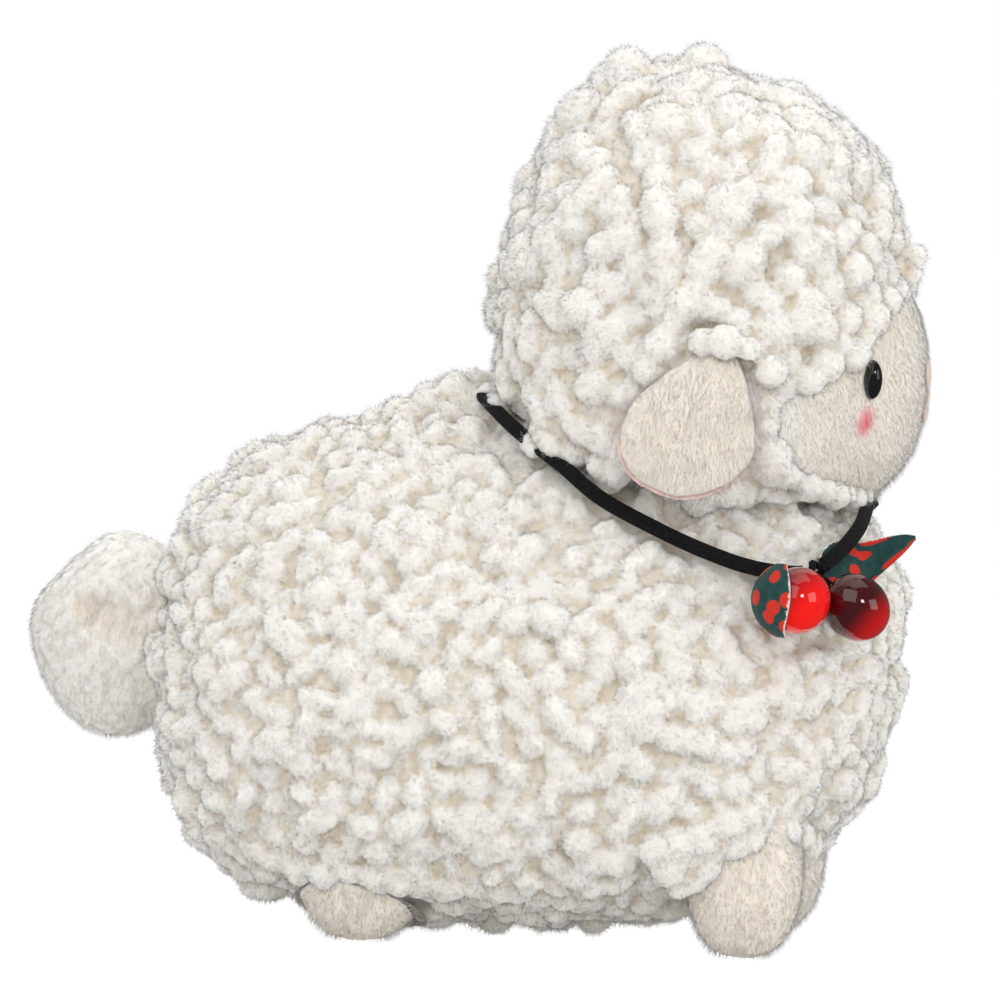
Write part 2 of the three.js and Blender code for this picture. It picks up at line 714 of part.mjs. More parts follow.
function fromKnot(along, out, down) {
  return knotCentre.clone()
    .addScaledVector(chestAlong, along)
    .addScaledVector(chestOut, out)
    .addScaledVector(up, -down);
}

// A bead with a blind bore that faces the knot.
function beadSolid(centre, axis) {
  const [turns, rows] = [16, 12];
  const bead = new THREE.SphereGeometry(beadDiameter / 2, turns, rows);
  bead.scale(1, beadLength / beadDiameter, 1);
  bead.applyQuaternion(new THREE.Quaternion().setFromUnitVectors(sideways, axis));
  const top = centre.clone().addScaledVector(axis, beadLength / 2 + overrun / 4);
  const bottom = centre.clone().addScaledVector(axis, beadLength / 2 - beadBoreDepth);
  return solidOf(bead.translate(centre.x, centre.y, centre.z))
    .subtract(rod(top, bottom, beadStemDiameter + 2 * seat));
}

function beadStem(centre, axis) {
  const top = knotCentre.clone().addScaledVector(axis, -knotDiameter / 2 - seat);
  const bottom = centre.clone().addScaledVector(axis, beadLength / 2 - beadBoreDepth + seat);
  return rod(top, bottom, beadStemDiameter);
}

// A leaf-shaped cloth sheet as a closed solid. A function puts each point of its middle layer, from
// shares of the way along and across, and gives the direction that its face looks there.
function clothSheet(stepsAlong, stepsAcross, place) {
  const points = [];
  const faces = [];
  const row = stepsAcross + 1;
  const layer = (stepsAlong + 1) * row;
  for (const face of [1, -1]) {
    for (let i = 0; i <= stepsAlong; i++) {
      for (let k = 0; k <= stepsAcross; k++) {
        const { point, out } = place(i / stepsAlong, 2 * k / stepsAcross - 1);
        point.addScaledVector(out, face * leafThickness / 2);
        points.push(point.x, point.y, point.z);
      }
    }
  }
  for (let i = 0; i < stepsAlong; i++) {
    for (let k = 0; k < stepsAcross; k++) {
      const a = i * row + k;
      const [b, c, d] = [a + 1, a + row, a + row + 1];
      faces.push(a, c, b, b, c, d);
      faces.push(layer + a, layer + b, layer + c, layer + b, layer + d, layer + c);
    }
  }
  const rim = [];
  for (let k = 0; k < stepsAcross; k++) rim.push(k);
  for (let i = 0; i < stepsAlong; i++) rim.push(i * row + stepsAcross);
  for (let k = stepsAcross; k > 0; k--) rim.push(stepsAlong * row + k);
  for (let i = stepsAlong; i > 0; i--) rim.push(i * row);
  rim.forEach((a, i) => {
    const b = rim[(i + 1) % rim.length];
    faces.push(a, b, layer + a, b, layer + b, layer + a);
  });
  const geometry = new THREE.BufferGeometry();
  geometry.setAttribute('position', new THREE.Float32BufferAttribute(points, 3));
  geometry.setIndex(faces);
  return solidOf(geometry);
}

// How wide a leaf is at a share of its length, as a share of its full width.
function leafSpread(share) {
  const leastShare = 0.06;
  return Math.max(Math.sin(Math.PI * share ** 0.8) ** 0.8, leastShare);
}

// The near leaf is cupped round its bead, from in front of it to behind, on the side of the lace.
function nearLeaf(centre) {
  const half = new THREE.Vector3(nearLeafWidth / 2, nearLeafDepth / 2, nearLeafHeight / 2);
  const middle = centre.clone().setX(centre.x - nearLeafShift);
  const [topShare, bottomShare, wrapShare, leastShare] = [0.36, -0.38, 0.27, 0.55];
  return clothSheet(10, 8, (along, across) => {
    const rise = Math.PI * (topShare + (bottomShare - topShare) * along);
    const reach = wrapShare * (leastShare + (1 - leastShare) * leafSpread(along));
    const turn = Math.PI * (across * reach - wrapShare - 1 / 2);
    const level = forward.clone().applyAxisAngle(up, turn).multiplyScalar(Math.cos(rise));
    const out = level.addScaledVector(up, Math.sin(rise));
    const point = out.clone().multiply(half).add(middle);
    return { point, out: out.divide(half).normalize() };
  });
}

// The far leaf lies on the chest under the lace, and its tip stands off where the chest turns away.
function farLeaf() {
  const axis = chestAlong.clone().applyAxisAngle(chestOut, rad(farLeafClimbAngle));
  const side = chestOut.clone().cross(axis);
  const base = knotFoot.point.clone().addScaledVector(knotFoot.out, knotDiameter / 2);
  return clothSheet(10, 5, (along, across) => {
    const flat = base.clone()
      .addScaledVector(axis, along * farLeafLength + knotDiameter / 2)
      .addScaledVector(side, across * leafSpread(along) * farLeafWidth / 2);
    const hugged = bodyExit(neckFoot, flat.clone().sub(neckFoot).normalize());
    const out = outwardOf(bodyMeasure, hugged);
    hugged.addScaledVector(out, leafThickness / 2 + seat);
    const off = THREE.MathUtils.smoothstep(along, farLeafHugShare, 1);
    return { point: hugged.lerp(flat, off), out };
  });
}

function makePendants() {
  const pendants = new THREE.Group();
  const knot = solidOf(new THREE.IcosahedronGeometry(knotDiameter / 2, 1)
    .translate(knotCentre.x, knotCentre.y, knotCentre.z));
  pendants.add(piece('lace_knot', knot, colours.lace, knotCentre));
  pendants.add(piece('leaf_far', farLeaf(), colours.leaf, knotCentre));
  const beads = [
    ['near', fromKnot(nearBeadAlong, nearBeadOut, nearBeadDown), colours.bead],
    ['far', fromKnot(farBeadAlong, farBeadOut, farBeadDown), colours.farBead],
  ];
  for (const [name, centre, colour] of beads) {
    const cherry = new THREE.Group();
    const axis = knotCentre.clone().sub(centre).normalize();
    cherry.add(piece(`cherry_${name}`, beadSolid(centre, axis), colour, centre));
    cherry.add(piece(`cherry_${name}_stem`, beadStem(centre, axis), colours.lace, knotCentre));
    if (name === 'near') cherry.add(piece('leaf_near', nearLeaf(centre), colours.leaf, centre));
    cherry.userData.joint = {
      name: `cherry_${name}_swing`,
      axis: chestAlong.clone().negate(),
      point: knotCentre,
      range: [0, beadSwingAngle],
    };
    pendants.add(cherry);
  }
  return pendants;
}

sheep.add(makeBody());
sheep.add(makeHead());
for (const [name, side] of Object.entries(sides)) {
  sheep.add(makeEar(`ear_${name}`, side));
  sheep.add(makeFoot(`foot_front_${name}`, frontFootForward, side, footLength));
  sheep.add(makeFoot(`foot_rear_${name}`, -rearFootBack, side, rearFootLength));
}
sheep.add(makeTail());
sheep.add(piece('necklace_lace', laceTube(), colours.lace, knotFoot.point));
sheep.add(makePendants());

const tailTip = -bodyLength / 2 - tailReach;
const faceTip = faceForm.centre.x + faceLength / 2;
sheep.position.x = -(tailTip + faceTip) / 2;

export default sheep;
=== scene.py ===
from math import atan, cos, exp, pi, radians, sin

import bmesh
import bpy
import numpy as np
from mathutils import Matrix, Vector


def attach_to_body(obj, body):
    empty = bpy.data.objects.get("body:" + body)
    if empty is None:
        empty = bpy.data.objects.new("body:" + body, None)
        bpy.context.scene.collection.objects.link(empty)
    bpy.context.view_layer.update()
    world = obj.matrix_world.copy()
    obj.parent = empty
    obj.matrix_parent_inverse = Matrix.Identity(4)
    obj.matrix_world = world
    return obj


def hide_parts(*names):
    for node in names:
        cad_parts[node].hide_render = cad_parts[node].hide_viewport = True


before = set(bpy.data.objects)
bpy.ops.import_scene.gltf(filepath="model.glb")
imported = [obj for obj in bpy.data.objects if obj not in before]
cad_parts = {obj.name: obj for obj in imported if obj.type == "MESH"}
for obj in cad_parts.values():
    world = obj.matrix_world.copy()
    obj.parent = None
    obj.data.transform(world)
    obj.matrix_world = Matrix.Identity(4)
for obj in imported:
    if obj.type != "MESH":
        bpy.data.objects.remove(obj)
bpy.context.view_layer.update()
scene = bpy.context.scene

# The toy stands on a plain white floor and is seen from its right side through a long lens, level
# with its middle. The camera is tipped a little, so the toy seems to lean on its front feet.
view_turn, view_rise, view_roll = radians(8), radians(1), radians(-1.9)
view_distance, view_width = 1.5, 0.2842
aim = Vector((0, 0, 0.125))
shift = (0.0065, -0.0023)  # the picture's middle, to the right of that place and above it

camera = bpy.data.objects.new("camera", bpy.data.cameras.new("camera"))
camera.data.sensor_fit = "HORIZONTAL"
camera.data.angle = 2 * atan(view_width / 2 / view_distance)
camera.matrix_world = (Matrix.Translation(aim) @ Matrix.Rotation(view_turn, 4, "Z")
                       @ Matrix.Rotation(pi / 2 - view_rise, 4, "X")
                       @ Matrix.Rotation(-view_roll, 4, "Z") @ Matrix.Translation((*shift, view_distance)))
scene.collection.objects.link(camera)
scene.camera = camera
scene.view_settings.view_transform = "Standard"


def out(made, name=None):
    """A node's first output that is in use, or the one with a name."""
    return next(s for s in made.outputs if s.enabled and name in (None, s.name))


def node(tree, kind, *counted, **others):
    """Adds a node. Its inputs are counted, or named with a capital; its settings have small names."""
    families = ("ShaderNode",) if tree.type == "SHADER" else ("GeometryNode", "FunctionNode", "ShaderNode")
    made = tree.nodes.new(next(f + kind for f in families if hasattr(bpy.types, f + kind)))
    for name in [n for n in others if n.islower()]:
        setattr(made, name, others.pop(name))
    inputs = [s for s in made.inputs if s.enabled]
    values = [*zip(inputs, counted)]
    for name, value in others.items():
        values.append((next(s for s in inputs if s.name == name.replace("_", " ")), value))
    for socket, value in values:
        for source in value if isinstance(value, list) else [value]:
            if isinstance(source, bpy.types.Node):
                source = out(source)
            if isinstance(source, bpy.types.NodeSocket):
                tree.links.new(source, socket)
            else:
                socket.default_value = source
    return made


def sums(tree, operation, *values):
    """A maths node on numbers, sockets or nodes."""
    return node(tree, "Math", *values, operation=operation)


def shaded(owner, made):
    """Gives a material or the world the shader that a function makes in its emptied tree."""
    owner.use_nodes = True
    tree = owner.node_tree
    tree.nodes.clear()
    node(tree, "OutputWorld" if isinstance(owner, bpy.types.World) else "OutputMaterial", made(tree))
    return owner


def studio(tree):
    """White around the toy for the camera, and a dimmer room for what is glossy."""
    path = node(tree, "LightPath")
    sky, room, backdrop = (node(tree, "Background", (1, 1, 1, 1), strength)
                           for strength in (0.88, 0.12, 1.0))
    around = node(tree, "MixShader", out(path, "Is Glossy Ray"), sky, room)
    return node(tree, "MixShader", out(path, "Is Camera Ray"), around, backdrop)


def white_floor(tree):
    """White paper that takes only a part of the shadow, and lights the toy a little from below."""
    paper, dim = (node(tree, "BsdfDiffuse", (tone, tone, tone, 1)) for tone in (0.86, 0.1))
    glow = node(tree, "Emission", (1, 1, 1, 1), 1.25)
    path = node(tree, "LightPath")
    back = sums(tree, "MULTIPLY", out(path, "Is Diffuse Ray"), floor_bounce)
    share = sums(tree, "MULTIPLY_ADD", out(path, "Is Camera Ray"), floor_glow, back)
    around = node(tree, "MixShader", out(path, "Is Glossy Ray"), paper, dim)
    return node(tree, "MixShader", share, around, glow)


scene.world = shaded(scene.world or bpy.data.worlds.new("studio"), studio)
floor_reach = 3.0
floor_glow = 0.78  # how much of the floor's white doesn't take the shadow
floor_bounce = 0.3  # how much of it lights the toy from below, also in the shadow
corners = [(x * floor_reach, y * floor_reach, 0) for x, y in ((-1, -1), (1, -1), (1, 1), (-1, 1))]
floor = bpy.data.objects.new("floor", bpy.data.meshes.new("floor"))
floor.data.from_pydata(corners, [], [(0, 1, 2, 3)])
floor.data.materials.append(shaded(bpy.data.materials.new("white floor"), white_floor))
scene.collection.objects.link(floor)

lamps = {  # place, size and power of each softbox, all turned to the toy's middle
    "key lamp": ((-0.35, -1.25, 1.25), 1.3, 6.0),
    "top lamp": ((0.1, 0.1, 1.6), 1.2, 3.5),
    "front lamp": ((1.5, -0.7, 0.6), 0.8, 3.2),
    "window lamp": ((0.75, -1.35, 0.85), 0.26, 2.6),
}
for name, (place, size, power) in lamps.items():
    lamp = bpy.data.objects.new(name, bpy.data.lights.new(name, "AREA"))
    lamp.data.size, lamp.data.energy = size, power
    lamp.location = place
    lamp.rotation_euler = (aim - Vector(place)).to_track_quat("-Z", "Y").to_euler()
    scene.collection.objects.link(lamp)


# Body: a stuffed cover of curled fleece. The curls are soft lobes of wool that stand close together
# on the cloth and run into each other, with painted shade, warmer and darker, in the hollows between
# them. The lace presses them down.


def tenths(*points):
    """Points given in tenths of a millimetre."""
    return np.array(points) / 10000


body_middle, body_half = tenths((150, 0, 772), (1055, 740, 750))
body_roundness, shoulder_taper, back_slope = 2.75, 0.3, 0.05
curl_sink = 0.0034  # the cloth under the curls lies this far below the toy's outer form
tuft_spacing, tuft_depth, tuft_flat_reach = 0.021, 0.003, 0.012
body_curl_spacing, body_curl_size = 0.0076, 0.0050
fleece_voxel, fuzz_spacing = 0.00095, 0.0009
head_middle, head_half = tenths((635, 0, 1737), (585, 660, 745))
head_roundness = foot_roundness = 2.4
ear_root, rump = tenths((765, 680, 1667), (-905, 0, 810))
foot_forms = {  # the middle and half size of each foot
    f"{end}_{name}": tenths((ahead, side * 390, 245), (reach, 170, 250))
    for end, ahead, reach in (("front", 835, 165), ("rear", -230, 190))
    for name, side in (("right", -1), ("left", 1))}


def vectors_of(items, name):
    values = np.empty(len(items) * 3, np.float32)
    items.foreach_get(name, values)
    return values.reshape(-1, 3).astype(float)


def points_of(mesh):
    return vectors_of(mesh.vertices, "co")


def set_points(mesh, places):
    mesh.vertices.foreach_set("co", np.ascontiguousarray(places, np.float32).ravel())
    mesh.update()


def normals_of(mesh):
    return vectors_of(mesh.vertex_normals, "vector")


def attach(obj, name, values):
    """Stores one number for each point of a mesh, for the nodes to read."""
    found = obj.data.attributes.get(name) or obj.data.attributes.new(name, "FLOAT", "POINT")
    found.data.foreach_set("value", np.ascontiguousarray(values, np.float32))


def smoothstep(low, high, value):
    share = np.clip((value - low) / (high - low), 0, 1)
    return share * share * (3 - 2 * share)


def unit(arrows):
    return arrows / np.linalg.norm(arrows, axis=-1, keepdims=True)


def piece(name, mesh):
    obj = bpy.data.objects.new(name, mesh)
    scene.collection.objects.link(obj)
    return obj


def kept_as(made, mesh):
    """Writes what was built into a mesh."""
    made.to_mesh(mesh)
    made.free()
    return mesh


def ball(fineness):
    made = bmesh.new()
    bmesh.ops.create_icosphere(made, subdivisions=fineness, radius=1)
    return kept_as(made, bpy.data.meshes.new("ball"))


def stuffed_form(name, middle, half, roundness, shape=None, fineness=6):
    """A ball puffed towards a box by its roundness, as a stuffed cover is."""
    mesh = ball(fineness)
    places = points_of(mesh)
    places *= (np.abs(places) ** roundness).sum(1, keepdims=True) ** (-1 / roundness)
    places *= half
    if shape:
        places = shape(places, half)
    set_points(mesh, places + middle)
    mesh.shade_smooth()
    mesh.name = name
    return piece(name, mesh)


def inside(places, middle, half, roundness):
    """Less than 1 inside a stuffed form and more outside."""
    return (np.abs((places - middle) / half) ** roundness).sum(1)


def swell(places, *bumps):
    """Pushes a form out or in: each bump has a middle, a reach and a push."""
    for middle, width, push in bumps:
        share = np.exp(-(((places - np.array(middle)) / width) ** 2).sum(1, keepdims=True))
        places = places + share * np.array(push)
    return places


def body_shape(places, half):
    places[:, 1] *= 1 - shoulder_taper * np.maximum(places[:, 2] / half[2], 0)
    places[:, 2] += back_slope * places[:, 0]
    return places


def body_measure(places):
    """Less than 1 inside the body's outer form, 1 on it and more outside."""
    x, y, z = (places - body_middle).T
    z = z - back_slope * x
    y = y / (1 - shoulder_taper * np.clip(z / body_half[2], 0, 3))
    return sum(np.abs(a / h) ** body_roundness for a, h in zip((x, y, z), body_half))


def way_out(measure, start, arrows):
    """How far each arrow goes from its start before it leaves a form."""
    near, far = np.zeros(len(arrows)), np.full(len(arrows), 0.3)
    for _ in range(36):
        middle = (near + far) / 2
        within = measure(start + arrows * middle[:, None]) < 1
        near, far = np.where(within, middle, near), np.where(within, far, middle)
    return near


def outward(measure, places):
    step = 0.00003
    slopes = [measure(places + axis * step) - measure(places - axis * step) for axis in np.eye(3)]
    return unit(np.stack(slopes, axis=1))


def cleared(places, measure, arrow):
    """Moves the points that lie inside a form out of it along an arrow."""
    arrows = np.tile(np.array(arrow, float), (len(places), 1))
    return places + arrows * np.where(measure(places) < 1, way_out(measure, places, arrows), 0)[:, None]


# The lace lies where rays from the foot of the neck leave the body. Each pair is a ray's turn from
# straight ahead and its climb above level, in degrees, from the knot round to the knot again.
neck_foot = np.array((0.0635, 0, 0.0772))
lace_rays = np.array([
    (-53.5, 26), (-62, 26), (-72, 27.5), (-84, 31), (-98, 35.5), (-112, 39.5), (-125, 44), (-138, 46.5),
    (-155, 49), (-168, 50), (-180, 50.5), (-192, 50), (-205, 49), (-222, 46), (-238, 42.5),
    (-254, 38.5), (-270, 35), (-284, 33.5), (-298, 35), (-312, 38), (-327, 41.5), (-342, 44.5),
    (-356, 45.5), (-369, 45.5), (-382, 42), (-394, 36.5), (-404, 31), (-413.5, 26),
])


def lace_places(shares):
    """Points of the body under the lace at shares of its way round, and the way out there."""
    at = np.asarray(shares) * (len(lace_rays) - 1)
    k = np.minimum(at.astype(int), len(lace_rays) - 2)
    t = (at - k)[:, None]
    a, b, c, d = (lace_rays[np.clip(k + i, 0, len(lace_rays) - 1)] for i in (-1, 0, 1, 2))
    turn, climb = np.radians(0.5 * (2 * b + (c - a) * t + (2 * a - 5 * b + 4 * c - d) * t ** 2
                                    + (3 * b - a - 3 * c + d) * t ** 3)).T
    arrows = np.stack((np.cos(turn) * np.cos(climb), np.sin(turn) * np.cos(climb), np.sin(climb)), axis=1)
    places = neck_foot + arrows * way_out(body_measure, neck_foot, arrows)[:, None]
    return places, outward(body_measure, places)


def nearest(places, line):
    """How far each place is from the nearest of a line's points."""
    least = np.full(len(places), np.inf)
    for point in line:
        least = np.minimum(least, np.linalg.norm(places - point, axis=1))
    return least


def tufted(places, middle, flats):
    """Dips a form towards its middle between the main tufts of its wool, but not round flat places."""
    offsets = places - middle
    x, y, z = (offsets * 2 * pi / (tuft_spacing * 2 ** 0.5)).T
    waves = np.sin(x) * np.cos(y) + np.sin(y) * np.cos(z) + np.sin(z) * np.cos(x)
    loose = smoothstep(tuft_flat_reach, 2 * tuft_flat_reach, nearest(places, flats))
    dips = tuft_depth * np.clip(0.5 - waves / 2.4, 0, 1) * loose
    return middle + offsets * (1 - dips / np.linalg.norm(offsets, axis=1))[:, None]


def pressed_by_lace(places):
    return 0.45 + 0.55 * smoothstep(0.002, 0.009, nearest(places, lace_foot))


def new_tree(name, numbers, **others):
    """A geometry tree with named inputs: the tree, the socket that it ends in, and its inputs."""
    tree = bpy.data.node_groups.new(name, "GeometryNodeTree")
    for way in ("INPUT", "OUTPUT"):
        tree.interface.new_socket("Geometry", in_out=way, socket_type="NodeSocketGeometry")
    for label, kind in (dict.fromkeys(numbers.split(), "Float") | others).items():
        tree.interface.new_socket(label, in_out="INPUT", socket_type="NodeSocket" + kind)
    given = [s for s in tree.nodes.new("NodeGroupInput").outputs if s.name]
    return tree, tree.nodes.new("NodeGroupOutput").inputs[0], *given


def dress(obj, tree, **values):
    """Puts a geometry tree on a piece, with its inputs set."""
    live = obj.modifiers.new(tree.name, "NODES")
    live.node_group = tree
    for item in tree.interface.items_tree:
        if item.in_out == "INPUT" and item.name in values:
            live[item.identifier] = values[item.name]


def settle(obj, material):
    """Turns a piece and its live modifiers into a plain mesh of one material."""
    bpy.context.view_layer.update()
    made = bpy.data.meshes.new_from_object(obj.evaluated_get(bpy.context.evaluated_depsgraph_get()))
    if obj.type == "MESH":
        obj.modifiers.clear()
        obj.data = made
    else:
        name = obj.name
        bpy.data.objects.remove(obj)
        obj = piece(name, made)
    made.name = obj.name
    made.materials.clear()
    made.materials.append(material)
    made.polygons.foreach_set("material_index", np.zeros(len(made.polygons), np.int32))
    made.shade_smooth()
    made.update()
    return obj


def stand_for(obj, body, finish, *nodes):
    """The piece moves with a body and replaces nodes; its finish is not used."""
    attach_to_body(obj, body)
    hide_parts(*nodes)
    return obj


def curl_kinds():
    """Three closed curls of one, two and three lobes, of about unit size, in a collection."""
    kinds = {
        "single": [(0, 0, 0, 1)],
        "double": [(-0.3, 0, 0, 0.88), (0.48, 0.05, 0.05, 0.8)],
        "triple": [(-0.34, 0.22, 0, 0.8), (0.4, 0.16, 0.08, 0.76), (0, -0.42, 0.04, 0.74)],
    }
    group = bpy.data.collections.new("curls")
    for name, lobes in kinds.items():
        curl = bmesh.new()
        for x, y, z, radius in lobes:
            bmesh.ops.create_icosphere(curl, subdivisions=3, radius=radius,
                                       matrix=Matrix.Translation((x, y, z)))
        mesh = kept_as(curl, bpy.data.meshes.new("curl " + name))
        group.objects.link(bpy.data.objects.new("curl " + name, mesh))
    return group


def vectors(tree, operation, first, second):
    """A maths node on two vectors, or on a vector and the number that scales it."""
    return node(tree, "VectorMath", first, second, operation=operation)


def grown_on(tree, leave, cover, extra, finish):
    """Ends a tree: what was placed on a cover is made real, joined to it and takes its finish."""
    real = node(tree, "RealizeInstances", extra)
    both = node(tree, "JoinGeometry", [cover, real])
    done = node(tree, "SetMaterial", Geometry=both, Material=finish)
    tree.links.new(out(done), leave)
    return tree


def drawn(tree, low, high, seed):
    """A random number, whole number or vector for each point."""
    kind = {tuple: "FLOAT_VECTOR", int: "INT", float: "FLOAT"}[type(low)]
    return node(tree, "RandomValue", Min=low, Max=high, Seed=seed, data_type=kind)


def named(tree, name):
    return node(tree, "InputNamedAttribute", name, data_type="FLOAT")


def turned_to(tree, spread, way, axis, **more):
    """The turn that points an axis of what stands on a surface a way."""
    return node(tree, "AlignRotationToVector", Rotation=out(spread, "Rotation"), Factor=1.0, Vector=way,
                axis=axis, **more)


def curled_fleece():
    """Curls stood close together on a cover where its points allow it, all inputs in metres."""
    tree, leave, cover, spacing, size, stretch, neatness, hang, group, finish, seed = new_tree(
        "curled fleece", "Spacing Size Stretch Neatness", Hang="Vector", Curls="Collection",
        Finish="Material", Seed="Int")
    crowd = sums(tree, "DIVIDE", 6.0, sums(tree, "MULTIPLY", spacing, spacing))
    spread = node(tree, "DistributePointsOnFaces", Mesh=cover, Distance_Min=spacing, Density_Max=crowd,
                  Density_Factor=named(tree, "room"), Seed=seed, distribute_method="POISSON")
    rise = sums(tree, "MULTIPLY", drawn(tree, -0.3, 0.1, 3), size)
    placed = node(tree, "SetPosition", Geometry=out(spread, "Points"),
                  Offset=vectors(tree, "SCALE", out(spread, "Normal"), rise))
    lie = vectors(tree, "SCALE", hang, neatness)
    way = vectors(tree, "ADD", lie, drawn(tree, (-1, -1, -1), (1, 1, 1), 5))
    shape = node(tree, "CombineXYZ", drawn(tree, 0.95, stretch, 7), drawn(tree, 0.78, 1.12, 19), 1.0)
    size = sums(tree, "MULTIPLY", size, drawn(tree, 0.72, 1.12, 11))
    pressed = sums(tree, "MULTIPLY", size, named(tree, "fullness"))
    kinds = node(tree, "CollectionInfo", Collection=group, Separate_Children=True, Reset_Children=True)
    wool = node(
        tree, "InstanceOnPoints", Points=placed, Instance=kinds, Pick_Instance=True,
        Instance_Index=drawn(tree, 0, 2, 13), Rotation=turned_to(tree, spread, way, "X", pivot_axis="Z"),
        Scale=vectors(tree, "SCALE", shape, pressed))
    return grown_on(tree, leave, cover, wool, finish)


def woolly_skin():
    """Moves the points of the wool about a little, so that no lobe is a plain ball, in metres."""
    tree, leave, cover, coarse, fine = new_tree("woolly skin", "Coarse Fine")
    place = node(tree, "InputPosition")
    moves = []
    for reach, scale in ((coarse, 210.0), (fine, 560.0)):
        cloud = node(tree, "TexNoise", place, scale, 1.0)
        middle = vectors(tree, "SUBTRACT", out(cloud, "Color"), (0.5, 0.5, 0.5))
        moves.append(vectors(tree, "SCALE", middle, reach))
    moves = vectors(tree, "ADD", *moves)
    tree.links.new(out(node(tree, "SetPosition", Geometry=cover, Offset=moves)), leave)
    return tree


def finished(name, inputs_of):
    """A material whose surface takes the inputs that a function gives for its tree."""
    return shaded(bpy.data.materials.new(name),
                  lambda tree: node(tree, "BsdfPrincipled", **inputs_of(tree)))


def noise(tree, scale, detail=2.0, roughness=0.5, vector=None):
    place = vector or out(node(tree, "TexCoord"), "Object")
    return node(tree, "TexNoise", place, scale, detail, roughness)


def ramp(tree, value, low, high, to_low=0.0, to_high=1.0):
    return node(tree, "MapRange", value, low, high, to_low, to_high)


def mix(tree, share, first, second):
    """A colour between two, each a colour or what gives one."""
    first, second = ((*c, 1) if isinstance(c, tuple) else c for c in (first, second))
    return node(tree, "Mix", share, first, second, data_type="RGBA")


def stored(tree, name):
    return out(node(tree, "Attribute", attribute_name=name), "Fac")


def bump(tree, height, strength, distance, **more):
    return node(tree, "Bump", Height=height, Strength=strength, Distance=distance, **more)


def as_grown(tree):
    """The way that the cover faces at a hair's root, so that hairs are lit as the pile is."""
    grown = node(tree, "Attribute", attribute_name="facing")
    return node(tree, "VectorTransform", out(grown, "Vector"), vector_type="NORMAL", convert_from="OBJECT",
                convert_to="WORLD")


def soft_surface(colour, normal, roughness, level, sheen, softness, deep, radius, reach):
    """The inputs of a soft surface that light goes into."""
    return dict(Base_Color=colour, Normal=normal, Roughness=roughness, Specular_IOR_Level=level,
                Sheen_Weight=sheen, Sheen_Roughness=softness, Subsurface_Weight=deep,
                Subsurface_Radius=radius, Subsurface_Scale=reach)


def fleece_inputs(tree):
    """White wool with painted shade, warmer and darker where it lies deep, and painted light, whiter, at
    the tips of its fuzz; fine fibres in its surface.
    """
    cloudy = mix(tree, ramp(tree, noise(tree, 70, 3), 0.3, 0.7), (0.93, 0.90, 0.85), (0.90, 0.865, 0.805))
    # Painted shade: the hollows between the curls are painted a warmer, darker beige.
    colour = mix(tree, stored(tree, "hollow"), cloudy, (0.80, 0.72, 0.58))
    # Painted light: the fuzz is painted whiter towards its tips.
    colour = mix(tree, stored(tree, "tip"), colour, (0.96, 0.95, 0.925))
    fibres = bump(tree, noise(tree, 1000, 5, 0.7), 0.6, 0.0008, Normal=as_grown(tree))
    return soft_surface(colour, fibres, 0.95, 0.1, 0.25, 0.6, 0.7, (1.0, 0.85, 0.65), 0.0035)


def hollows(mesh, passes=20):
    """How deep each point lies below its wider surroundings, in metres."""
    edges = np.empty(len(mesh.edges) * 2, np.int32)
    mesh.edges.foreach_get("vertices", edges)
    a, b = edges.reshape(-1, 2).T
    places = points_of(mesh)
    count = np.bincount(np.concatenate((a, b)), minlength=len(places))[:, None]
    wide = places.copy()
    for _ in range(passes):
        total = np.stack([np.bincount(a, wide[b, i], len(places)) + np.bincount(b, wide[a, i], len(places))
                          for i in range(3)], axis=1)
        wide = total / np.maximum(count, 1)
    return ((wide - places) * normals_of(mesh)).sum(1)


def hair():
    """A closed hair of four faces that thins to its tip, in units of its width and length."""
    mesh = bpy.data.meshes.new("hair")
    corners = [(cos(a), sin(a), 0) for a in (0, 2 * pi / 3, 4 * pi / 3)]
    mesh.from_pydata(corners + [(3, 0, 1)], [], [(2, 1, 0), (0, 1, 3), (1, 2, 3), (2, 0, 3)])
    made = bpy.data.objects.new("hair", mesh)
    attach(made, "tip", [0, 0, 0, 1])
    return made


def noted(tree, geometry, name, value, kind, domain):
    """Stores a value with each point or each copy, for the material to read."""
    return node(tree, "StoreNamedAttribute", Geometry=geometry, Name=name, Value=value, data_type=kind,
                domain=domain)


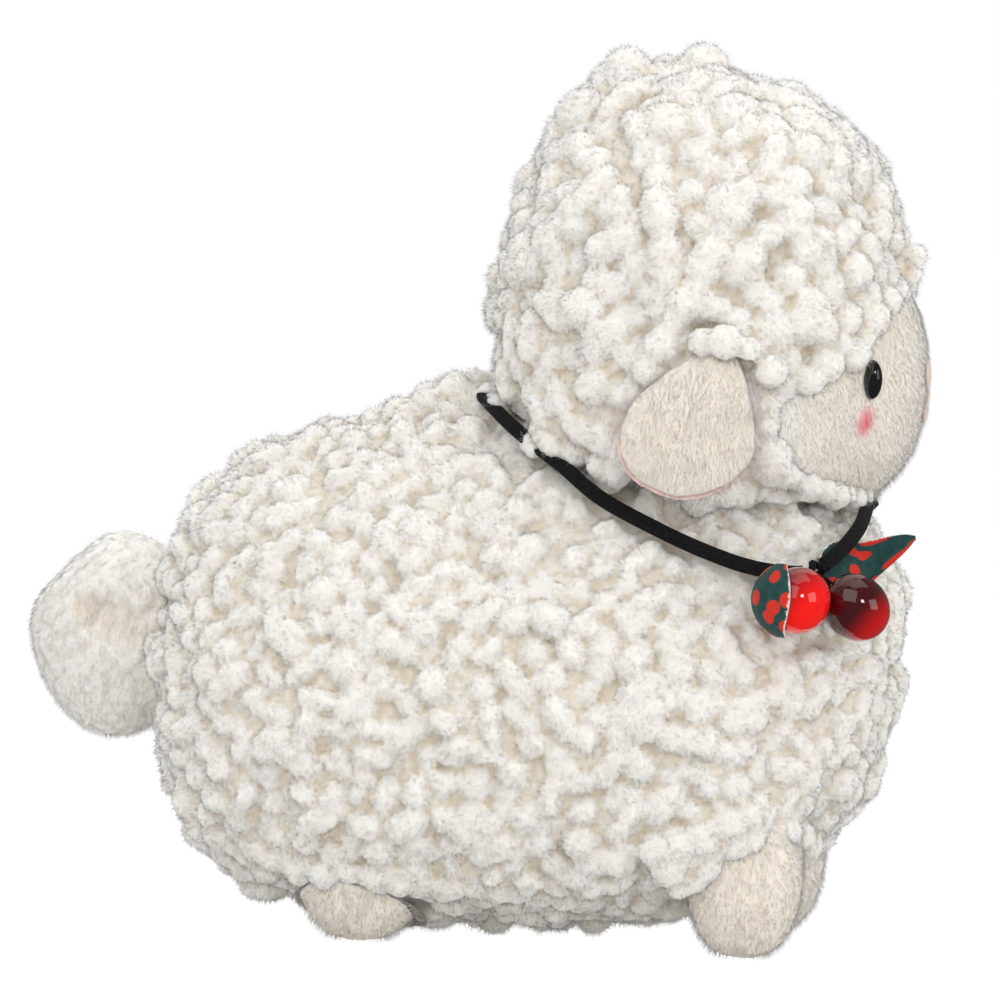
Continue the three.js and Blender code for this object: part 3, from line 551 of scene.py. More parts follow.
def short_pile():
    """Hairs grown on a cover where its points allow it, leaning together in tufts, in metres."""
    tree, leave, cover, spacing, length, thickness, lean, tufts, comb, model, finish, seed = new_tree(
        "short pile", "Spacing Length Thickness Lean Tufts", Comb="Vector", Hair="Object",
        Finish="Material", Seed="Int")
    full = sums(tree, "DIVIDE", 1.0, sums(tree, "MULTIPLY", spacing, spacing))
    crowd = sums(tree, "MULTIPLY", full, named(tree, "room"))
    spread = node(tree, "DistributePointsOnFaces", Mesh=cover, Density=crowd, Seed=seed,
                  distribute_method="RANDOM")
    waves = node(tree, "TexNoise", node(tree, "InputPosition"), tufts, 2.0, 0.6)
    middle = vectors(tree, "SUBTRACT", out(waves, "Color"), (0.5, 0.5, 0.5))
    way = vectors(tree, "ADD", out(spread, "Normal"), comb)
    way = vectors(tree, "ADD", way, vectors(tree, "SCALE", middle, lean))
    way = vectors(tree, "ADD", way, drawn(tree, (-0.3, -0.3, -0.3), (0.3, 0.3, 0.3), 5))
    roll = node(tree, "AxisAngleToRotation", (0, 0, 1), drawn(tree, 0.0, 6.28, 9))
    turned = node(tree, "RotateRotation", turned_to(tree, spread, way, "Z"), roll, rotation_space="LOCAL")
    tall = sums(tree, "MULTIPLY", length, drawn(tree, 0.65, 1.15, 7))
    scale = node(tree, "CombineXYZ", thickness, thickness, tall)
    shape = node(tree, "ObjectInfo", model)
    grown = node(tree, "InstanceOnPoints", Points=out(spread, "Points"), Rotation=turned,
                 Instance=out(shape, "Geometry"), Scale=scale)
    toned = noted(tree, grown, "shade", drawn(tree, 0.0, 1.0, 17), "FLOAT", "INSTANCE")
    facing = noted(tree, toned, "facing", out(spread, "Normal"), "FLOAT_VECTOR", "INSTANCE")
    cover = noted(tree, cover, "facing", node(tree, "InputNormal"), "FLOAT_VECTOR", "POINT")
    return grown_on(tree, leave, cover, facing, finish)


def piled(obj, finish, room, spacing, length, thickness, comb, lean=2.2, tufts=190.0, relief=0.0, seed=1):
    """Gives a cover a matted relief and grows hairs on it where it has room."""
    dress(obj, skin_tree, Coarse=relief, Fine=0.6 * relief)
    settle(obj, finish)
    attach(obj, "room", room)
    dress(obj, pile_tree, Spacing=spacing, Length=length, Thickness=thickness, Lean=lean, Comb=comb,
          Tufts=tufts, Hair=one_hair, Finish=finish, Seed=seed)
    return settle(obj, finish)


def locks(obj, *chains, sides=(-1, 1)):
    """Adds lobes of wool to a cover at lines of places, each line with the size of its lobes."""
    grown = bmesh.new()
    grown.from_mesh(obj.data)
    for side in sides:
        for line, size in chains:
            for k, place in enumerate(line * (1, side, 1)):
                radius = size * (1 + 0.2 * sin(2.3 * k))
                bmesh.ops.create_icosphere(grown, subdivisions=3, radius=radius,
                                           matrix=Matrix.Translation(place))
    kept_as(grown, obj.data)


def curled(obj, spacing, size, stretch, hang, neatness, seed):
    """Grows curls on a cover, runs them together into one skin, and marks the hollows for painted shade."""
    dress(obj, curl_tree, Spacing=spacing, Size=size, Stretch=stretch, Hang=hang, Neatness=neatness,
          Curls=curls, Finish=fleece, Seed=seed)
    fused = obj.modifiers.new("run together", "REMESH")
    fused.mode, fused.voxel_size = "VOXEL", fleece_voxel
    soft = obj.modifiers.new("soften", "SMOOTH")
    soft.factor, soft.iterations = 0.5, 2
    dress(obj, skin_tree, Coarse=0.0012, Fine=0.0014)
    settle(obj, fleece)
    # The hollows are marked for painted shade in the fleece's colour; the fuzz grows only outside them.
    hollow = smoothstep(0, 0.0012, hollows(obj.data))
    attach(obj, "hollow", hollow)
    return piled(obj, fleece, hollow < 0.5, fuzz_spacing, 0.0019, 0.00006, (0, 0, -0.3), 3.0, 260.0,
                 seed=seed)


fleece = finished("curled fleece", fleece_inputs)
curls = curl_kinds()
curl_tree = curled_fleece()
skin_tree = woolly_skin()
pile_tree = short_pile()
one_hair = hair()
lace_foot, _ = lace_places(np.linspace(0, 1, 141))

body = stuffed_form("body_fleece", body_middle, body_half - curl_sink, body_roundness, body_shape)
places = swell(
    points_of(body.data), ((-0.009, 0, 0.153), 0.02, (0, 0, 0.006)),
    ((-0.072, 0, 0.13), 0.026, (-0.002, 0, 0.003)), ((0.116, 0, 0.095), 0.026, (0.004, 0, 0)),
    ((0.118, 0, 0.045), 0.03, (0.002, 0, 0)), ((-0.003, 0, 0.155), 0.013, (-0.001, 0, 0.005)),
    ((-0.062, 0, 0.01), 0.02, (-0.002, 0, -0.002)), ((0.042, 0, 0), 0.026, (0, 0, -0.002)))
flats = [rump, lace_foot[0], *(middle for middle, _ in foot_forms.values())]
set_points(body.data, tufted(places, body_middle, flats))
clear = inside(places, head_middle, head_half - 0.012, head_roundness) > 1
for middle, half in foot_forms.values():
    under = (((places - middle)[:, :2] / (half[:2] - 0.006)) ** 2).sum(1) <= 1
    clear &= ~under | (places[:, 2] > 0.06)
attach(body, "room", clear)
attach(body, "fullness", pressed_by_lace(places))
# Lobes of wool at places of their own: over and beside the feet, at the nape and caught on the lace.
over_front_foot = tenths(
    (715, 525, 225), (745, 538, 265), (775, 545, 305), (820, 545, 325), (865, 535, 340), (897, 498, 365),
    (947, 445, 355), (988, 350, 340))
above_front_foot = (over_front_foot[:-1] + over_front_foot[1:]) / 2 + (-0.0035, 0.003, 0.0052)
behind_front_foot = tenths((605, 585, 305), (645, 565, 255), (672, 535, 205), (660, 585, 318))
over_rear_foot = tenths(
    (-387, 492, 195), (-311, 524, 195), (-238, 545, 200), (-167, 548, 197), (-98, 540, 185),
    (-54, 500, 165))
nape = tenths((30, 0, 1530), (45, 90, 1525), (69, 185, 1508), (90, 235, 1495))
wool_on_lace = tenths((218, 425, 1378), (205, 405, 1395))
locks(body, (over_front_foot, 0.004), (above_front_foot, 0.0047), (behind_front_foot, 0.0049),
      (over_rear_foot, 0.0043), (nape, 0.0036))
locks(body, (wool_on_lace, 0.0028), sides=[-1])
curled(body, body_curl_spacing, body_curl_size, 1.35, (0, 0, -1), 0.25, 1)
stand_for(body, "sheep", "fleece", "body_cover", "body_stuffing")

# Head: the hood, in longer curls that hang, ends at the window for the face. The short-pile face is
# sewn into the window, with its cheeks deeper than the hood, and the curls fall over its edge.
hood_curl_spacing, hood_curl_size = 0.0088, 0.0059
window_middle, window_half = tenths((1510, 0, 1482), (790, 970, 430))
face_middle, face_half = tenths((850, 0, 1612), (415, 450, 410))
face_roundness, cheek_sink = 2.3, 0.0036
face_room = 0.14  # how far the head's filling stands back from the face, as a share of its size
plush_thickness, pile_spacing = 0.0024, 0.0008


def window_reach(places):
    """Less than 1 in front of the hood's window, and more outside it."""
    return inside(places, window_middle, window_half, 2) ** 0.5


def face_measure(places):
    bulge = inside(places, face_middle, face_half, face_roundness)
    return np.minimum(bulge, inside(places, head_middle, head_half - cheek_sink, head_roundness))


def plush_finish(name, tip, root, blush=(0.88, 0.12, 0.2)):
    """Short pile: hairs that differ in tone, with painted shade at their roots and on the cover between
    them and painted light towards their tips. Its last colour is the face's real pink blush, and painted
    shade in the tail's crease and between its tufts.
    """
    def inputs(tree):
        combed = vectors(tree, "MULTIPLY", out(node(tree, "TexCoord"), "Object"), (1, 1, 0.45))
        patchy = mix(tree, ramp(tree, noise(tree, 300, 4, 0.65, combed), 0.4, 0.7), tip,
                     tuple(0.6 * a + 0.4 * b for a, b in zip(tip, root)))
        toned = mix(tree, ramp(tree, stored(tree, "shade"), 0, 1, 0, 0.35), patchy, root)
        along = stored(tree, "tip")
        # Painted shade at the roots and on the cover between the hairs, and painted light towards the tips,
        # which are painted whiter.
        colour = mix(tree, ramp(tree, along, 0, 0.6, 0.6, 1.0), root, toned)
        colour = mix(tree, ramp(tree, along, 0, 1, 0, 0.6), colour, (0.99, 0.97, 0.94))
        colour = mix(tree, stored(tree, "edge"), colour, (0.93, 0.905, 0.86))
        # On the face a real pink blush; on the tail, painted shade in its crease and between its tufts.
        colour = mix(tree, stored(tree, "blush"), colour, blush)
        fibres = bump(tree, noise(tree, 1300, 5, 0.7, combed), 0.5, 0.0006, Normal=as_grown(tree))
        return soft_surface(colour, fibres, 0.9, 0.15, 0.2, 0.5, 0.5, (1.0, 0.8, 0.6), 0.0015)
    return finished(name, inputs)


cream_plush = plush_finish("cream plush", (0.95, 0.90, 0.82), (0.86, 0.76, 0.63))

hood = stuffed_form("head_fleece", head_middle, head_half - curl_sink, head_roundness)
places = swell(
    points_of(hood.data), ((0.038, 0, 0.24), 0.024, (-0.001, 0, 0.003)),
    ((0.088, 0, 0.243), 0.026, (0, 0, -0.0045)), ((0.006, 0, 0.165), 0.03, (-0.0035, 0, 0)))
places = tufted(places, head_middle, [ear_root, ear_root * (1, -1, 1)])
behind = 1 - smoothstep(0.86, 0.98, window_reach(places))
places = head_middle + (places - head_middle) * (1 - face_room * behind[:, None])
places = cleared(places, body_measure, (0, 0, 1))
set_points(hood.data, places)
attach(hood, "room", (window_reach(places) > 0.98) & (body_measure(places) > 1.002))
fullness = 1 + 0.12 * smoothstep(0.06, 0.1, places[:, 0]) + 0.15 * smoothstep(0.2, 0.24, places[:, 2])
attach(hood, "fullness", fullness * pressed_by_lace(places))
# The same on the hood: in two long locks behind the ear, along the hair line, round the cheek and
# under the chin, and on the toy's right side over the ear's root, on the brow and on the crown.
sweep = tenths(
    (790, 575, 2090), (762, 600, 2035), (737, 620, 1977), (713, 630, 1930), (690, 635, 1881),
    (668, 638, 1833), (645, 640, 1785), (623, 640, 1744), (602, 640, 1703), (585, 638, 1668),
    (568, 635, 1634), (552, 630, 1605))
drop = tenths((555, 595, 2065), (565, 610, 2020), (575, 620, 1975), (582, 628, 1922), (590, 630, 1870))
temple = tenths(
    (1186, 279, 1824), (1153, 370, 1771), (1130, 405, 1710), (1105, 448, 1666), (1085, 468, 1765),
    (1065, 495, 1693), (1035, 522, 1635), (996, 555, 1585), (1140, 375, 1840))
temple = head_middle + (temple - head_middle) * 0.955
cheek_wool = tenths(
    (885, 592, 1515), (874, 592, 1455), (882, 573, 1395), (913, 537, 1342), (936, 510, 1312),
    (959, 475, 1303), (990, 430, 1280))
cheek_wool = head_middle + (cheek_wool - head_middle) * 0.95
chin_wool = tenths(
    (1020, 375, 1292), (1045, 325, 1280), (1070, 265, 1285), (1085, 200, 1272), (1098, 130, 1280),
    (1100, 60, 1274))
ear_wool = tenths((702, 692, 1684), (762, 712, 1688), (826, 702, 1670), (882, 655, 1612))
brow = tenths((1180, 100, 2010), (1225, 95, 1955), (1225, 90, 1900))
rear_crown = tenths((360, 120, 2410), (405, 140, 2445))
crown = tenths((570, 120, 2425), (615, 100, 2460))
locks(hood, (sweep, 0.0047), (drop, 0.0047), (temple, 0.0045), (cheek_wool, 0.0038), (chin_wool, 0.0036))
locks(hood, (ear_wool, 0.0042), (brow, 0.003), (rear_crown, 0.006), (crown, 0.0062), sides=[-1])
curled(hood, hood_curl_spacing, hood_curl_size, 1.4, (0, 0, -1), 0.5, 2)
stand_for(hood, "sheep", "fleece", "head_cover", "head_stuffing")

face_mesh = ball(6)
arrows = points_of(face_mesh)
face_core = np.array((0.08, 0, 0.163))
places = face_core + arrows * way_out(face_measure, face_core, arrows)[:, None]
set_points(face_mesh, places)
face = piece("face_plush", face_mesh)
cut = bmesh.new()
cut.from_mesh(face_mesh)
kept = (window_reach(places) < 1.0) & (body_measure(places) > 1.0)
bmesh.ops.delete(cut, geom=[v for v, stays in zip(cut.verts, kept) if not stays], context="VERTS")
kept_as(cut, face_mesh)
ease = face.modifiers.new("ease", "SMOOTH")
ease.factor, ease.iterations = 0.5, 6
thick = face.modifiers.new("thickness", "SOLIDIFY")
thick.thickness, thick.offset = plush_thickness, -1
settle(face, cream_plush)
places = points_of(face.data)
surface = np.abs(face_measure(places) - 1) < 0.03
attach(face, "edge", smoothstep(0.8, 0.98, window_reach(places)))
cheek = (np.abs(places) - (0.1135, 0.036, 0.147)) * (1.3, 1.3, 0.75)
attach(face, "blush", 1 - smoothstep(0.002, 0.0058, np.linalg.norm(cheek, axis=1)))
piled(face, cream_plush, surface, pile_spacing, 0.0022, 0.00005, (0.1, 0, -1.6), relief=0.0014, seed=2)
stand_for(face, "sheep", "plush", "face_panel")

# Eyes and stitching: glossy black domes on stems whose washers hold them inside the face, and a small
# nose and mouth in satin stitch, each thread laid on the plush.
eye_side, eye_height = 0.0355, 0.1602
eye_width, eye_tall, eye_dome, eye_stem = 0.0055, 0.011, 0.0032, 0.008


def lathe(name, profile, material, turns=48):
    """A closed form turned about X from pairs of place along and radius, closed to the axis."""
    made = bmesh.new()
    rings = []
    for along, radius in profile:
        if radius == 0:
            rings.append([made.verts.new((along, 0, 0))])
        else:
            rings.append([made.verts.new((along, radius * cos(a), radius * sin(a)))
                          for a in (2 * pi * k / turns for k in range(turns))])
    for low, high in zip(rings, rings[1:]):
        for k in range(turns):
            n = (k + 1) % turns
            corners = [low[k % len(low)], low[n % len(low)], high[n % len(high)], high[k % len(high)]]
            made.faces.new(list(dict.fromkeys(corners)))
    bmesh.ops.recalc_face_normals(made, faces=made.faces)
    mesh = kept_as(made, bpy.data.meshes.new(name))
    mesh.shade_smooth()
    mesh.materials.append(material)
    return piece(name, mesh)


def aimed(obj, place, way, scale=(1, 1, 1)):
    """Sets a form that was made along X at a place, looking a way."""
    turn = Vector(way).to_track_quat("X", "Z").to_matrix().to_4x4()
    obj.data.transform(Matrix.Translation(place) @ turn @ Matrix.Diagonal((*scale, 1)))
    return obj


def threads(name, lines, radius):
    """Thin round threads along lines of points."""
    curve = bpy.data.curves.new(name, "CURVE")
    curve.dimensions = "3D"
    curve.bevel_depth, curve.bevel_resolution, curve.use_fill_caps = radius, 1, True
    for line in lines:
        spline = curve.splines.new("POLY")
        spline.points.add(len(line) - 1)
        spline.points.foreach_set("co", np.c_[np.array(line), np.ones(len(line))].ravel())
    return piece(name, curve)


def smooth_finish(name, colour, roughness, grain=(400, 0.05, 0.0001), **more):
    """A moulded or twisted surface of nearly one colour."""
    def inputs(tree):
        scale, strength, distance = grain
        grains = noise(tree, scale, 3)
        darker = tuple(0.82 * c for c in colour)
        return dict(Base_Color=mix(tree, ramp(tree, grains, 0.35, 0.65), colour, darker),
                    Roughness=ramp(tree, grains, 0.3, 0.7, roughness * 0.85, roughness * 1.15),
                    Normal=bump(tree, grains, strength, distance), **more)
    return finished(name, inputs)


def on_face(side, height, lift=0.0):
    """Points of the face at places across and up, raised off it."""
    starts = np.c_[np.full(len(side), 0.085), side, height]
    ahead = np.tile((1.0, 0, 0), (len(side), 1))
    places = starts + ahead * way_out(face_measure, starts, ahead)[:, None]
    return places + outward(face_measure, places) * lift


black_gloss = smooth_finish("black gloss", (0.006, 0.006, 0.007), 0.09, (900, 0.02, 0.00005),
                            Coat_Weight=0.6, Coat_Roughness=0.04)
white_plastic = smooth_finish("white plastic", (0.8, 0.79, 0.76), 0.4)
pink_thread = smooth_finish("pink thread", (0.85, 0.67, 0.59), 0.55, (2500, 0.4, 0.0001))
dome = [(eye_dome * sin(a), eye_tall / 2 * cos(a)) for a in np.linspace(pi / 2, 0, 13)]
dome[0] = (eye_dome, 0)
dome += [(-0.0006, eye_tall / 2 * 0.94), (-0.0006, 0.0015), (-eye_stem, 0.0015), (-eye_stem, 0)]
for name, side in (("eye_right", -1), ("eye_left", 1)):
    place = on_face(np.array([side * eye_side]), np.array([eye_height]))
    way = unit(outward(face_measure, place)[0] + (0.22, 0, 0))
    eye = aimed(lathe(name + "_gloss", dome, black_gloss), place[0], way, (1, eye_width / eye_tall, 1))
    stand_for(eye, "sheep", "eye", name)
    washer = bpy.data.objects[name + "_washer"].data
    washer.materials.clear()
    washer.materials.append(white_plastic)

nose_height, nose_half = 0.1622, 0.0065
nose_lines = []
for share in np.linspace(-0.95, 0.95, 27):
    top = nose_height + 0.0039 * (1 - 0.35 * abs(share) ** 3)
    low = nose_height - 0.0041 * (1 - abs(share) ** 1.5)
    puff = 0.0003 + 0.0004 * np.sin(np.linspace(0, pi, 9)) * (1 - share ** 2) ** 0.5
    nose_lines.append(on_face(np.full(9, share * nose_half), np.linspace(top, low, 9), puff[:, None]))
nose = settle(threads("nose_satin", nose_lines, 0.00032), pink_thread)
stand_for(nose, "sheep", "thread", "nose_stitching")

mouth_radius, mouth_middle = 0.0048, 0.155  # the mouth is an arc below a short stem of stitches
stitch_reach, stem_stitches = 0.0007, 14
stitches = [((-stitch_reach, height), (stitch_reach, height - 0.0002))
            for height in nose_height - 0.0045 - 0.0003 * np.arange(stem_stitches)]
for a in np.radians(np.linspace(-90 - 62, -90 + 62, 34)):
    stitches.append([((mouth_radius + reach) * cos(a + slant),
                      mouth_middle + (mouth_radius + reach) * sin(a + slant))
                     for reach, slant in ((-stitch_reach, 0), (stitch_reach, 0.04))])
lifts = np.array((0.0005, 0.0009, 0.0009, 0.0005))[:, None]
mouth_lines = [on_face(*np.linspace(*stitch, 4).T, lifts) for stitch in stitches]
mouth = settle(threads("mouth_satin", mouth_lines, 0.00022), pink_thread)
stand_for(mouth, "sheep", "thread", "mouth_stitching")

# Ears: two layers sewn edge to edge, a short-pile back and a pink lining, hung from the head's sides.
# Their tips curl a little away from the head.
ear_length, ear_width, ear_roundness, ear_bend = 0.042, 0.0365, 2.2, 0.003
ear_sweep = radians(21)
ear_layers = {
    "back": ("plush", 0.0044, 1, 0.0),
    "lining": ("ear_lining", 0.0022, -1, 0.001),
}
pink_plush = plush_finish("pink plush", (0.94, 0.70, 0.66), (0.90, 0.58, 0.54))


def ear_layer(side, thickness, away, extra):
    """Shapes one layer of an ear about its root, with its flat face on the seam."""
    def shape(places, half):
        x, y, z = places.T
        along = (1 - y) / 2
        grown = extra * smoothstep(0.62, 0.9, along)
        width = (ear_width + 2 * grown) * (0.55 + 0.45 * smoothstep(0, 0.65, along))
        off = away * (np.maximum(z * away, 0) * thickness + 0.00015) + ear_bend * along ** 2
        off = off + 0.0009 * np.sin(2.4 * x + 4.5 * along) * smoothstep(0.1, 0.4, along)
        back = 0.0025 * smoothstep(0.5, 1, along)
        made = np.stack((-side * x * width / 2 - back, side * off, -along * (ear_length + grown)), axis=1)
        return made @ np.array(Matrix.Rotation(ear_sweep, 3, "Y")).T
    return shape


for name, side in (("right", -1), ("left", 1)):
    for layer, (slot, thickness, away, extra) in ear_layers.items():
        root = ear_root * (1, side, 1)
        ear = stuffed_form(f"ear_{name}_{layer}_plush", root, (1, 1, 1), ear_roundness,
                           ear_layer(side, thickness, away, extra), 5)
        places = points_of(ear.data)
        rim = normals_of(ear.data) @ (0, side * away, 0) > -0.2
        finish = cream_plush if layer == "back" else pink_plush
        piled(ear, finish, rim, 0.0007, 0.0031, 0.000045, (-0.1, 0, -1.1), 3.4, relief=0.0010,
              seed=20 + side)
        stand_for(ear, f"ear_{name}", slot, f"ear_{name}_{layer}")

# Feet: four stuffed cups of the same short pile, sewn to the belly, with flat soles on the floor.
for k, (name, (middle, half)) in enumerate(foot_forms.items()):
    foot = stuffed_form(f"foot_{name}_plush", middle, half - 0.0008, foot_roundness)
    places = cleared(points_of(foot.data), body_measure, (0, 0, -1))
    places[:, 2] = np.maximum(places[:, 2], 0.0004)
    set_points(foot.data, places)
    grows = (places[:, 2] > 0.0012) & (body_measure(places) > 1.02)
    piled(foot, cream_plush, grows, pile_spacing, 0.0026, 0.00005, (0, 0, -1.0), relief=0.0010, seed=30 + k)
    stand_for(foot, "sheep", "plush", f"foot_{name}_cover", f"foot_{name}_stuffing")

# Tail: a stuffed pouch in longer, whiter pile that lies in soft tufts, with a crease in its side where
# it is caught down. Painted shade, beige, lies in the crease and more lightly between the tufts.
tail_middle, tail_half = tenths((-1034, 0, 810), (230, 215, 305))
tail_tuft = 0.0034
# The third colour is painted shade, beige, for the tail's crease and the hollows between its tufts.
white_plush = plush_finish("white plush", (0.95, 0.93, 0.89), (0.92, 0.885, 0.83), (0.76, 0.65, 0.50))


def tail_shape(places, half):
    share = 1 + 0.05 * places[:, 2:] / half[2] + 0.1 * smoothstep(0.2, 1, places[:, :1] / half[0])
    places = places * np.c_[share, share, np.ones(len(share))]
    return places @ np.array(Matrix.Rotation(radians(-3), 3, "Y")).T


tail = stuffed_form("tail_plush", tail_middle, tail_half - 0.0012, 2.1, tail_shape)
places = swell(
    points_of(tail.data), ((-0.118, 0, 0.103), 0.013, (0.004, 0, -0.003)),
    ((-0.102, -0.021, 0.087), 0.006, (0, 0.004, 0)), ((-0.094, -0.021, 0.083), 0.006, (0, 0.004, 0)),
    ((-0.127, 0, 0.085), 0.018, (-0.0025, 0, 0)))
picks = places[np.random.default_rng(4).permutation(len(places))[:4000]]
chosen = picks[:1]
for pick in picks:
    if np.linalg.norm(chosen - pick, axis=1).min() > tail_tuft:
        chosen = np.append(chosen, pick[None], axis=0)
tufts = 1 - (nearest(places, chosen) / tail_tuft) ** 2
places = places + unit(places - tail_middle) * (0.0011 * tufts - 0.0006)[:, None]
places = cleared(places, lambda at: body_measure(at) + 0.08, (-1, 0, 0))
set_points(tail.data, places)
# Painted shade: beige in the crease, and lighter between the tufts.
crease = nearest(places, np.linspace((-0.106, -0.0215, 0.088), (-0.088, -0.0215, 0.081), 9))
attach(tail, "blush", np.clip(0.8 * (1 - smoothstep(0, 0.009, crease)) + 0.3 * (1 - tufts), 0, 1))
piled(tail, white_plush, body_measure(places) > 1.02, pile_spacing, 0.0026, 0.00004, (-0.3, 0, -1.2),
      3.4, 150.0, 0.0005, 40)
stand_for(tail, "tail", "tail_plush", "tail_cover", "tail_stuffing")

# Necklace: a flat suede lace that lies on the wool all round the neck and meets itself in a knot, with
# two glossy beads and two printed cloth leaves. Some white wool has caught on the lace below the nape.
lace_width, lace_thickness, lace_gap = 0.0042, 0.002, 0.0003
knot_size, leaf_thickness = 0.006, 0.0009
up = np.array((0, 0, 1.0))
knot_foot, knot_out = (v[0] for v in lace_places([0]))
knot_middle = knot_foot + knot_out * (knot_size / 2 + lace_gap)
chest_out = unit(knot_out * (1, 1, 0))
chest_along = unit(np.cross(up, chest_out))


def laid_out(name, points, faces, material):
    """A closed piece of one material from its points and faces."""
    mesh = bpy.data.meshes.new(name)
    mesh.from_pydata(points.reshape(-1, 3), [], faces)
    mesh.shade_smooth()
    mesh.materials.append(material)
    return piece(name, mesh)


def squares(rows, columns, closed=False):
    """The corners of each square of a grid of points, whose rows may run back into themselves."""
    k = np.arange(columns if closed else columns - 1)
    row = np.arange(rows - 1)[:, None] * columns
    low, high = row + k, row + (k + 1) % columns
    return np.stack((low, high, high + columns, low + columns), axis=2).reshape(-1, 4)


def tube(name, rings, material):
    """A closed tube through rings of points, capped at both ends."""
    steps, around = rings.shape[:2]
    caps = [np.arange(around)[::-1].tolist(), ((steps - 1) * around + np.arange(around)).tolist()]
    return laid_out(name, rings, squares(steps, around, True).tolist() + caps, material)


def suede_inputs(tree):
    """Black suede: matt, with a fine nap and a slight grain along it."""
    nap = noise(tree, 1500, 4, 0.7)
    colour = mix(tree, ramp(tree, nap, 0.35, 0.7), (0.004, 0.004, 0.0045), (0.015, 0.015, 0.015))
    return dict(Base_Color=colour, Normal=bump(tree, nap, 0.7, 0.0004), Roughness=0.95,
                Specular_IOR_Level=0.1, Sheen_Weight=0.04, Sheen_Roughness=0.5)


black_suede = finished("black suede", suede_inputs)
shares = np.linspace(0, 1, 601)
places, outs = lace_places(shares)
climb = smoothstep(0.88, 0.94, shares)[:, None] * (leaf_thickness + lace_gap)
places = places + outs * (lace_thickness / 2 + lace_gap + climb)
off_knot = np.linalg.norm(places - knot_middle, axis=1) > knot_size / 2 + 0.0006
first, last = np.argmax(off_knot), len(off_knot) - np.argmax(off_knot[::-1])
places, outs = places[first:last], outs[first:last]
along = unit(np.gradient(places, axis=0))
across = unit(np.cross(outs, along))
angles = np.radians(np.arange(0, 360, 22.5))
flat_round = np.c_[np.sign(np.cos(angles)) * np.abs(np.cos(angles)) ** 0.5 * lace_width / 2,
                   np.sign(np.sin(angles)) * np.abs(np.sin(angles)) ** 0.6 * lace_thickness / 2]
rings = places[:, None] + across[:, None] * flat_round[:, :1] + outs[:, None] * flat_round[:, 1:]
lace = tube("lace_suede", rings, black_suede)
stand_for(lace, "sheep", "lace", "necklace_lace")

# Beads: glossy resin, each on a short stem of the same suede that goes into its blind bore.
bead_size, bead_length, bore_radius, bore_depth, stem_radius = 0.0176, 0.0196, 0.00115, 0.004, 0.0009


def bead_finish(name, colour, lit):
    """Glossy red resin, deep in colour, with painted light: lighter red painted on its lower front side,
    away from the light from above, where light would come out of it.
    """
    return finished(name, lambda tree: dict(
        Base_Color=mix(tree, stored(tree, "glow"), colour, lit), Roughness=0.05, IOR=1.5, Coat_Weight=0.7,
        Coat_Roughness=0.03, Normal=bump(tree, noise(tree, 120, 2), 0.03, 0.0002)))


bead_profile = [(bead_length / 2 * cos(a) - 0.0012 * exp(-(a / 0.32) ** 2),
                 bead_size / 2 * sin(a)) for a in np.linspace(0.12, pi, 40)]
bead_profile[-1] = (-bead_length / 2, 0)
bore_foot = bead_length / 2 - bore_depth
bead_profile = [(bore_foot, 0), (bore_foot, bore_radius)] + bead_profile
cherries = {
    "near": ((0.0977, -0.0650, 0.0999),
             bead_finish("red bead", (0.22, 0.004, 0.006), (0.85, 0.008, 0.006)), "bead"),
    "far": ((0.1125, -0.0533, 0.0982),
            bead_finish("dark red bead", (0.05, 0.003, 0.005), (0.5, 0.004, 0.005)), "far_bead"),
}
for name, (middle, finish, slot) in cherries.items():
    middle = np.array(middle)
    way = unit(knot_middle - middle)
    bead = aimed(lathe(f"cherry_{name}_bead", bead_profile, finish), middle, way)
    # Painted light: each bead is painted lighter red towards its lower front side.
    low = (points_of(bead.data) - middle) @ unit(np.array((0.75, 0, -0.66))) / (bead_size / 2)
    attach(bead, "glow", smoothstep(*((-0.7, 0.5) if name == "near" else (0.1, 1.0)), low))
    stand_for(bead, f"{name}_cherry", slot, f"cherry_{name}")
    foot, head = middle + way * (bore_foot + 0.0004), knot_middle - way * (knot_size / 2 + 0.0003)
    stem = threads(f"cherry_{name}_cord", [np.linspace(foot, head, 12)], stem_radius)
    stand_for(settle(stem, black_suede), f"{name}_cherry", "lace", f"cherry_{name}_stem")

knot_loop, knot_cord = 0.0019, 0.00105
turns = np.linspace(0, 2 * pi, 121)[:, None]
wide = 1 + 0.15 * np.cos(3 * turns)
knot_line = knot_middle + knot_loop * (np.cos(turns) * wide * chest_along + np.sin(turns) * wide * up
                                       + 0.55 * np.sin(3 * turns) * chest_out)
knot = settle(threads("knot_suede", [knot_line], knot_cord), black_suede)
stand_for(knot, "sheep", "lace", "lace_knot")

# Leaves: printed cloth cut out by hand. Each is a grid of points along and across it. The near one is
# folded round the back of its bead and the far one lies on the chest under the lace.
lengths, widths = np.meshgrid(np.linspace(0, 1, 41), np.linspace(-1, 1, 25), indexing="ij")


def leaf_spread(share):
    """How wide a leaf is at a share of its length, as a share of its full width."""
    return np.maximum(np.sin(pi * share ** 0.8).clip(0) ** 0.8, 0.06)


def cloth(name, places, outs):
    """A closed sheet of printed cloth about a grid of points."""
    rows, columns = places.shape[:2]
    grid = np.arange(rows * columns).reshape(rows, columns)
    rim = np.concatenate((grid[0], grid[1:, -1], grid[-1, -2::-1], grid[-2:0:-1, 0]))
    on = np.roll(rim, -1)
    flat, layer = squares(rows, columns), grid.size
    faces = np.concatenate((flat[:, [0, 3, 2, 1]], layer + flat,
                            np.stack((rim, on, layer + on, layer + rim), axis=1)))
    half = outs * (leaf_thickness / 2)
    made = laid_out(name, np.concatenate((places + half, places - half)), faces.tolist(), leaf_cloth)
    attach(made, "along", np.tile(lengths.ravel(), 2))
    attach(made, "across", np.tile(widths.ravel(), 2))
    return made


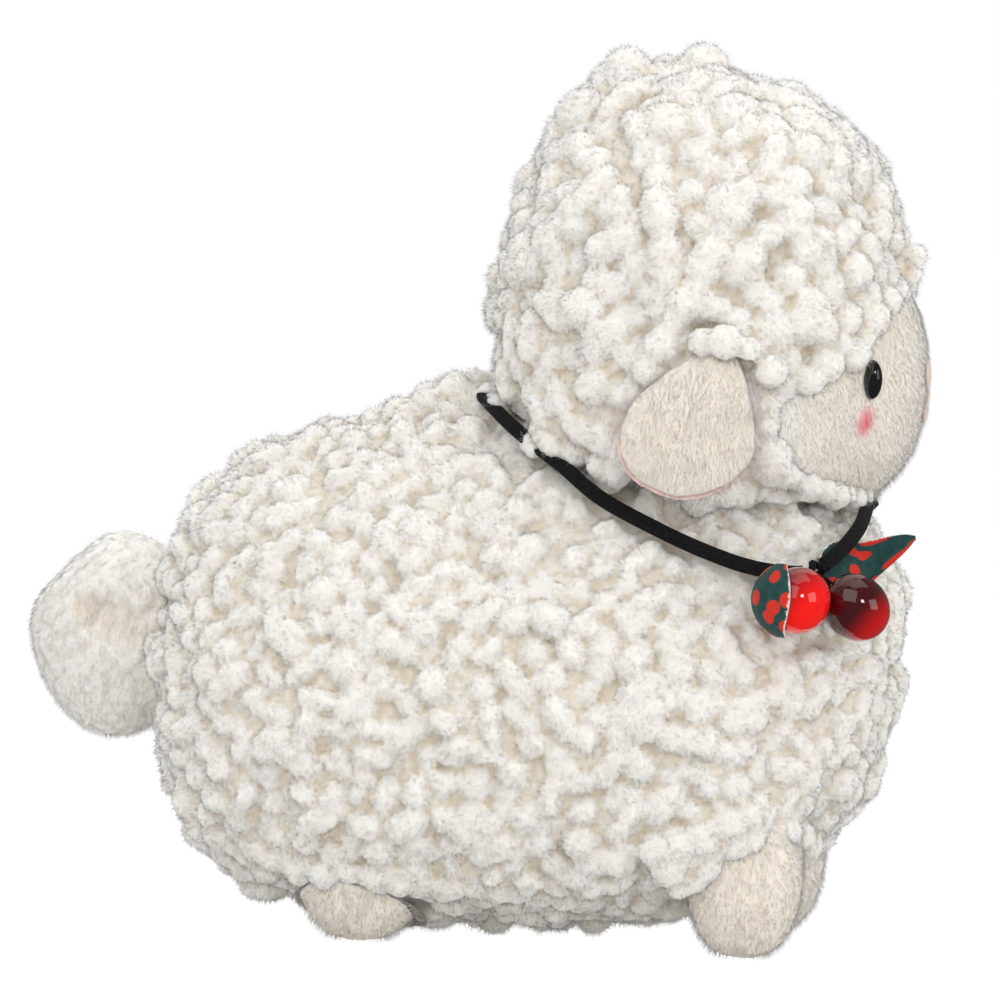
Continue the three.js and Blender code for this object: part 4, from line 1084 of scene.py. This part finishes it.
def leaf_inputs(tree):
    """Green printed cloth with red dots, a fine weave and a raw white edge."""
    across = stored(tree, "across")
    place = node(tree, "CombineXYZ", stored(tree, "along"), across)
    scaled = vectors(tree, "MULTIPLY", place, (3.1, 1.15, 0))
    dots = node(tree, "TexVoronoi", scaled, Scale=1.0, Randomness=0.75, voronoi_dimensions="2D")
    dotted = ramp(tree, out(dots, "Distance"), 0.24, 0.28, 1, 0)
    green = mix(tree, ramp(tree, noise(tree, 500, 3), 0.35, 0.65), (0.006, 0.045, 0.042),
                (0.012, 0.07, 0.064))
    colour = mix(tree, dotted, green, (0.6, 0.02, 0.008))
    ragged = sums(tree, "ADD", across, ramp(tree, noise(tree, 1200, 2), 0, 1, -0.1, 0.1))
    weave = node(tree, "TexWave", scaled, Scale=9.0, Distortion=1.0)
    colour = mix(tree, ramp(tree, ragged, 0.93, 0.99), colour, (0.72, 0.74, 0.68))
    return dict(Base_Color=colour, Normal=bump(tree, out(weave, "Fac"), 0.3, 0.0002), Roughness=0.75,
                Specular_IOR_Level=0.3, Sheen_Weight=0.1)


leaf_cloth = finished("printed leaf cloth", leaf_inputs)
spread = leaf_spread(lengths)
near_middle = np.array(cherries["near"][0]) - (0.0012, 0, 0)
rise = pi * (0.36 + (-0.38 - 0.36) * lengths)
turn = pi * (widths * 0.27 * (0.55 + 0.45 * spread) - 0.27 - 0.5)
ways = np.stack((np.cos(turn) * np.cos(rise), np.sin(turn) * np.cos(rise), np.sin(rise)), axis=2)
cup = np.array((0.011, 0.0104, 0.0104))
near_leaf = cloth("leaf_near_cloth", near_middle + ways * cup, unit(ways / cup))
stand_for(near_leaf, "near_cherry", "leaf", "leaf_near")

far_length, far_width, far_rise = 0.03, 0.018, radians(17)
axis = unit(chest_along * cos(far_rise) + up * sin(far_rise))
beside = np.cross(chest_out, axis)
start = knot_foot + knot_out * knot_size / 2
flat_places = (start + axis * (lengths[..., None] * far_length + knot_size / 2)
               + beside * (widths * spread * (far_width / 2))[..., None])
arrows = unit(flat_places - neck_foot).reshape(-1, 3)
hugged = neck_foot + arrows * way_out(body_measure, neck_foot, arrows)[:, None]
outs = outward(body_measure, hugged)
hugged = (hugged + outs * (leaf_thickness / 2 + lace_gap)).reshape(flat_places.shape)
off = smoothstep(0.65, 1, lengths)[..., None]
far_leaf = cloth("leaf_far_cloth", hugged * (1 - off) + flat_places * off, outs.reshape(flat_places.shape))
stand_for(far_leaf, "sheep", "leaf", "leaf_far")
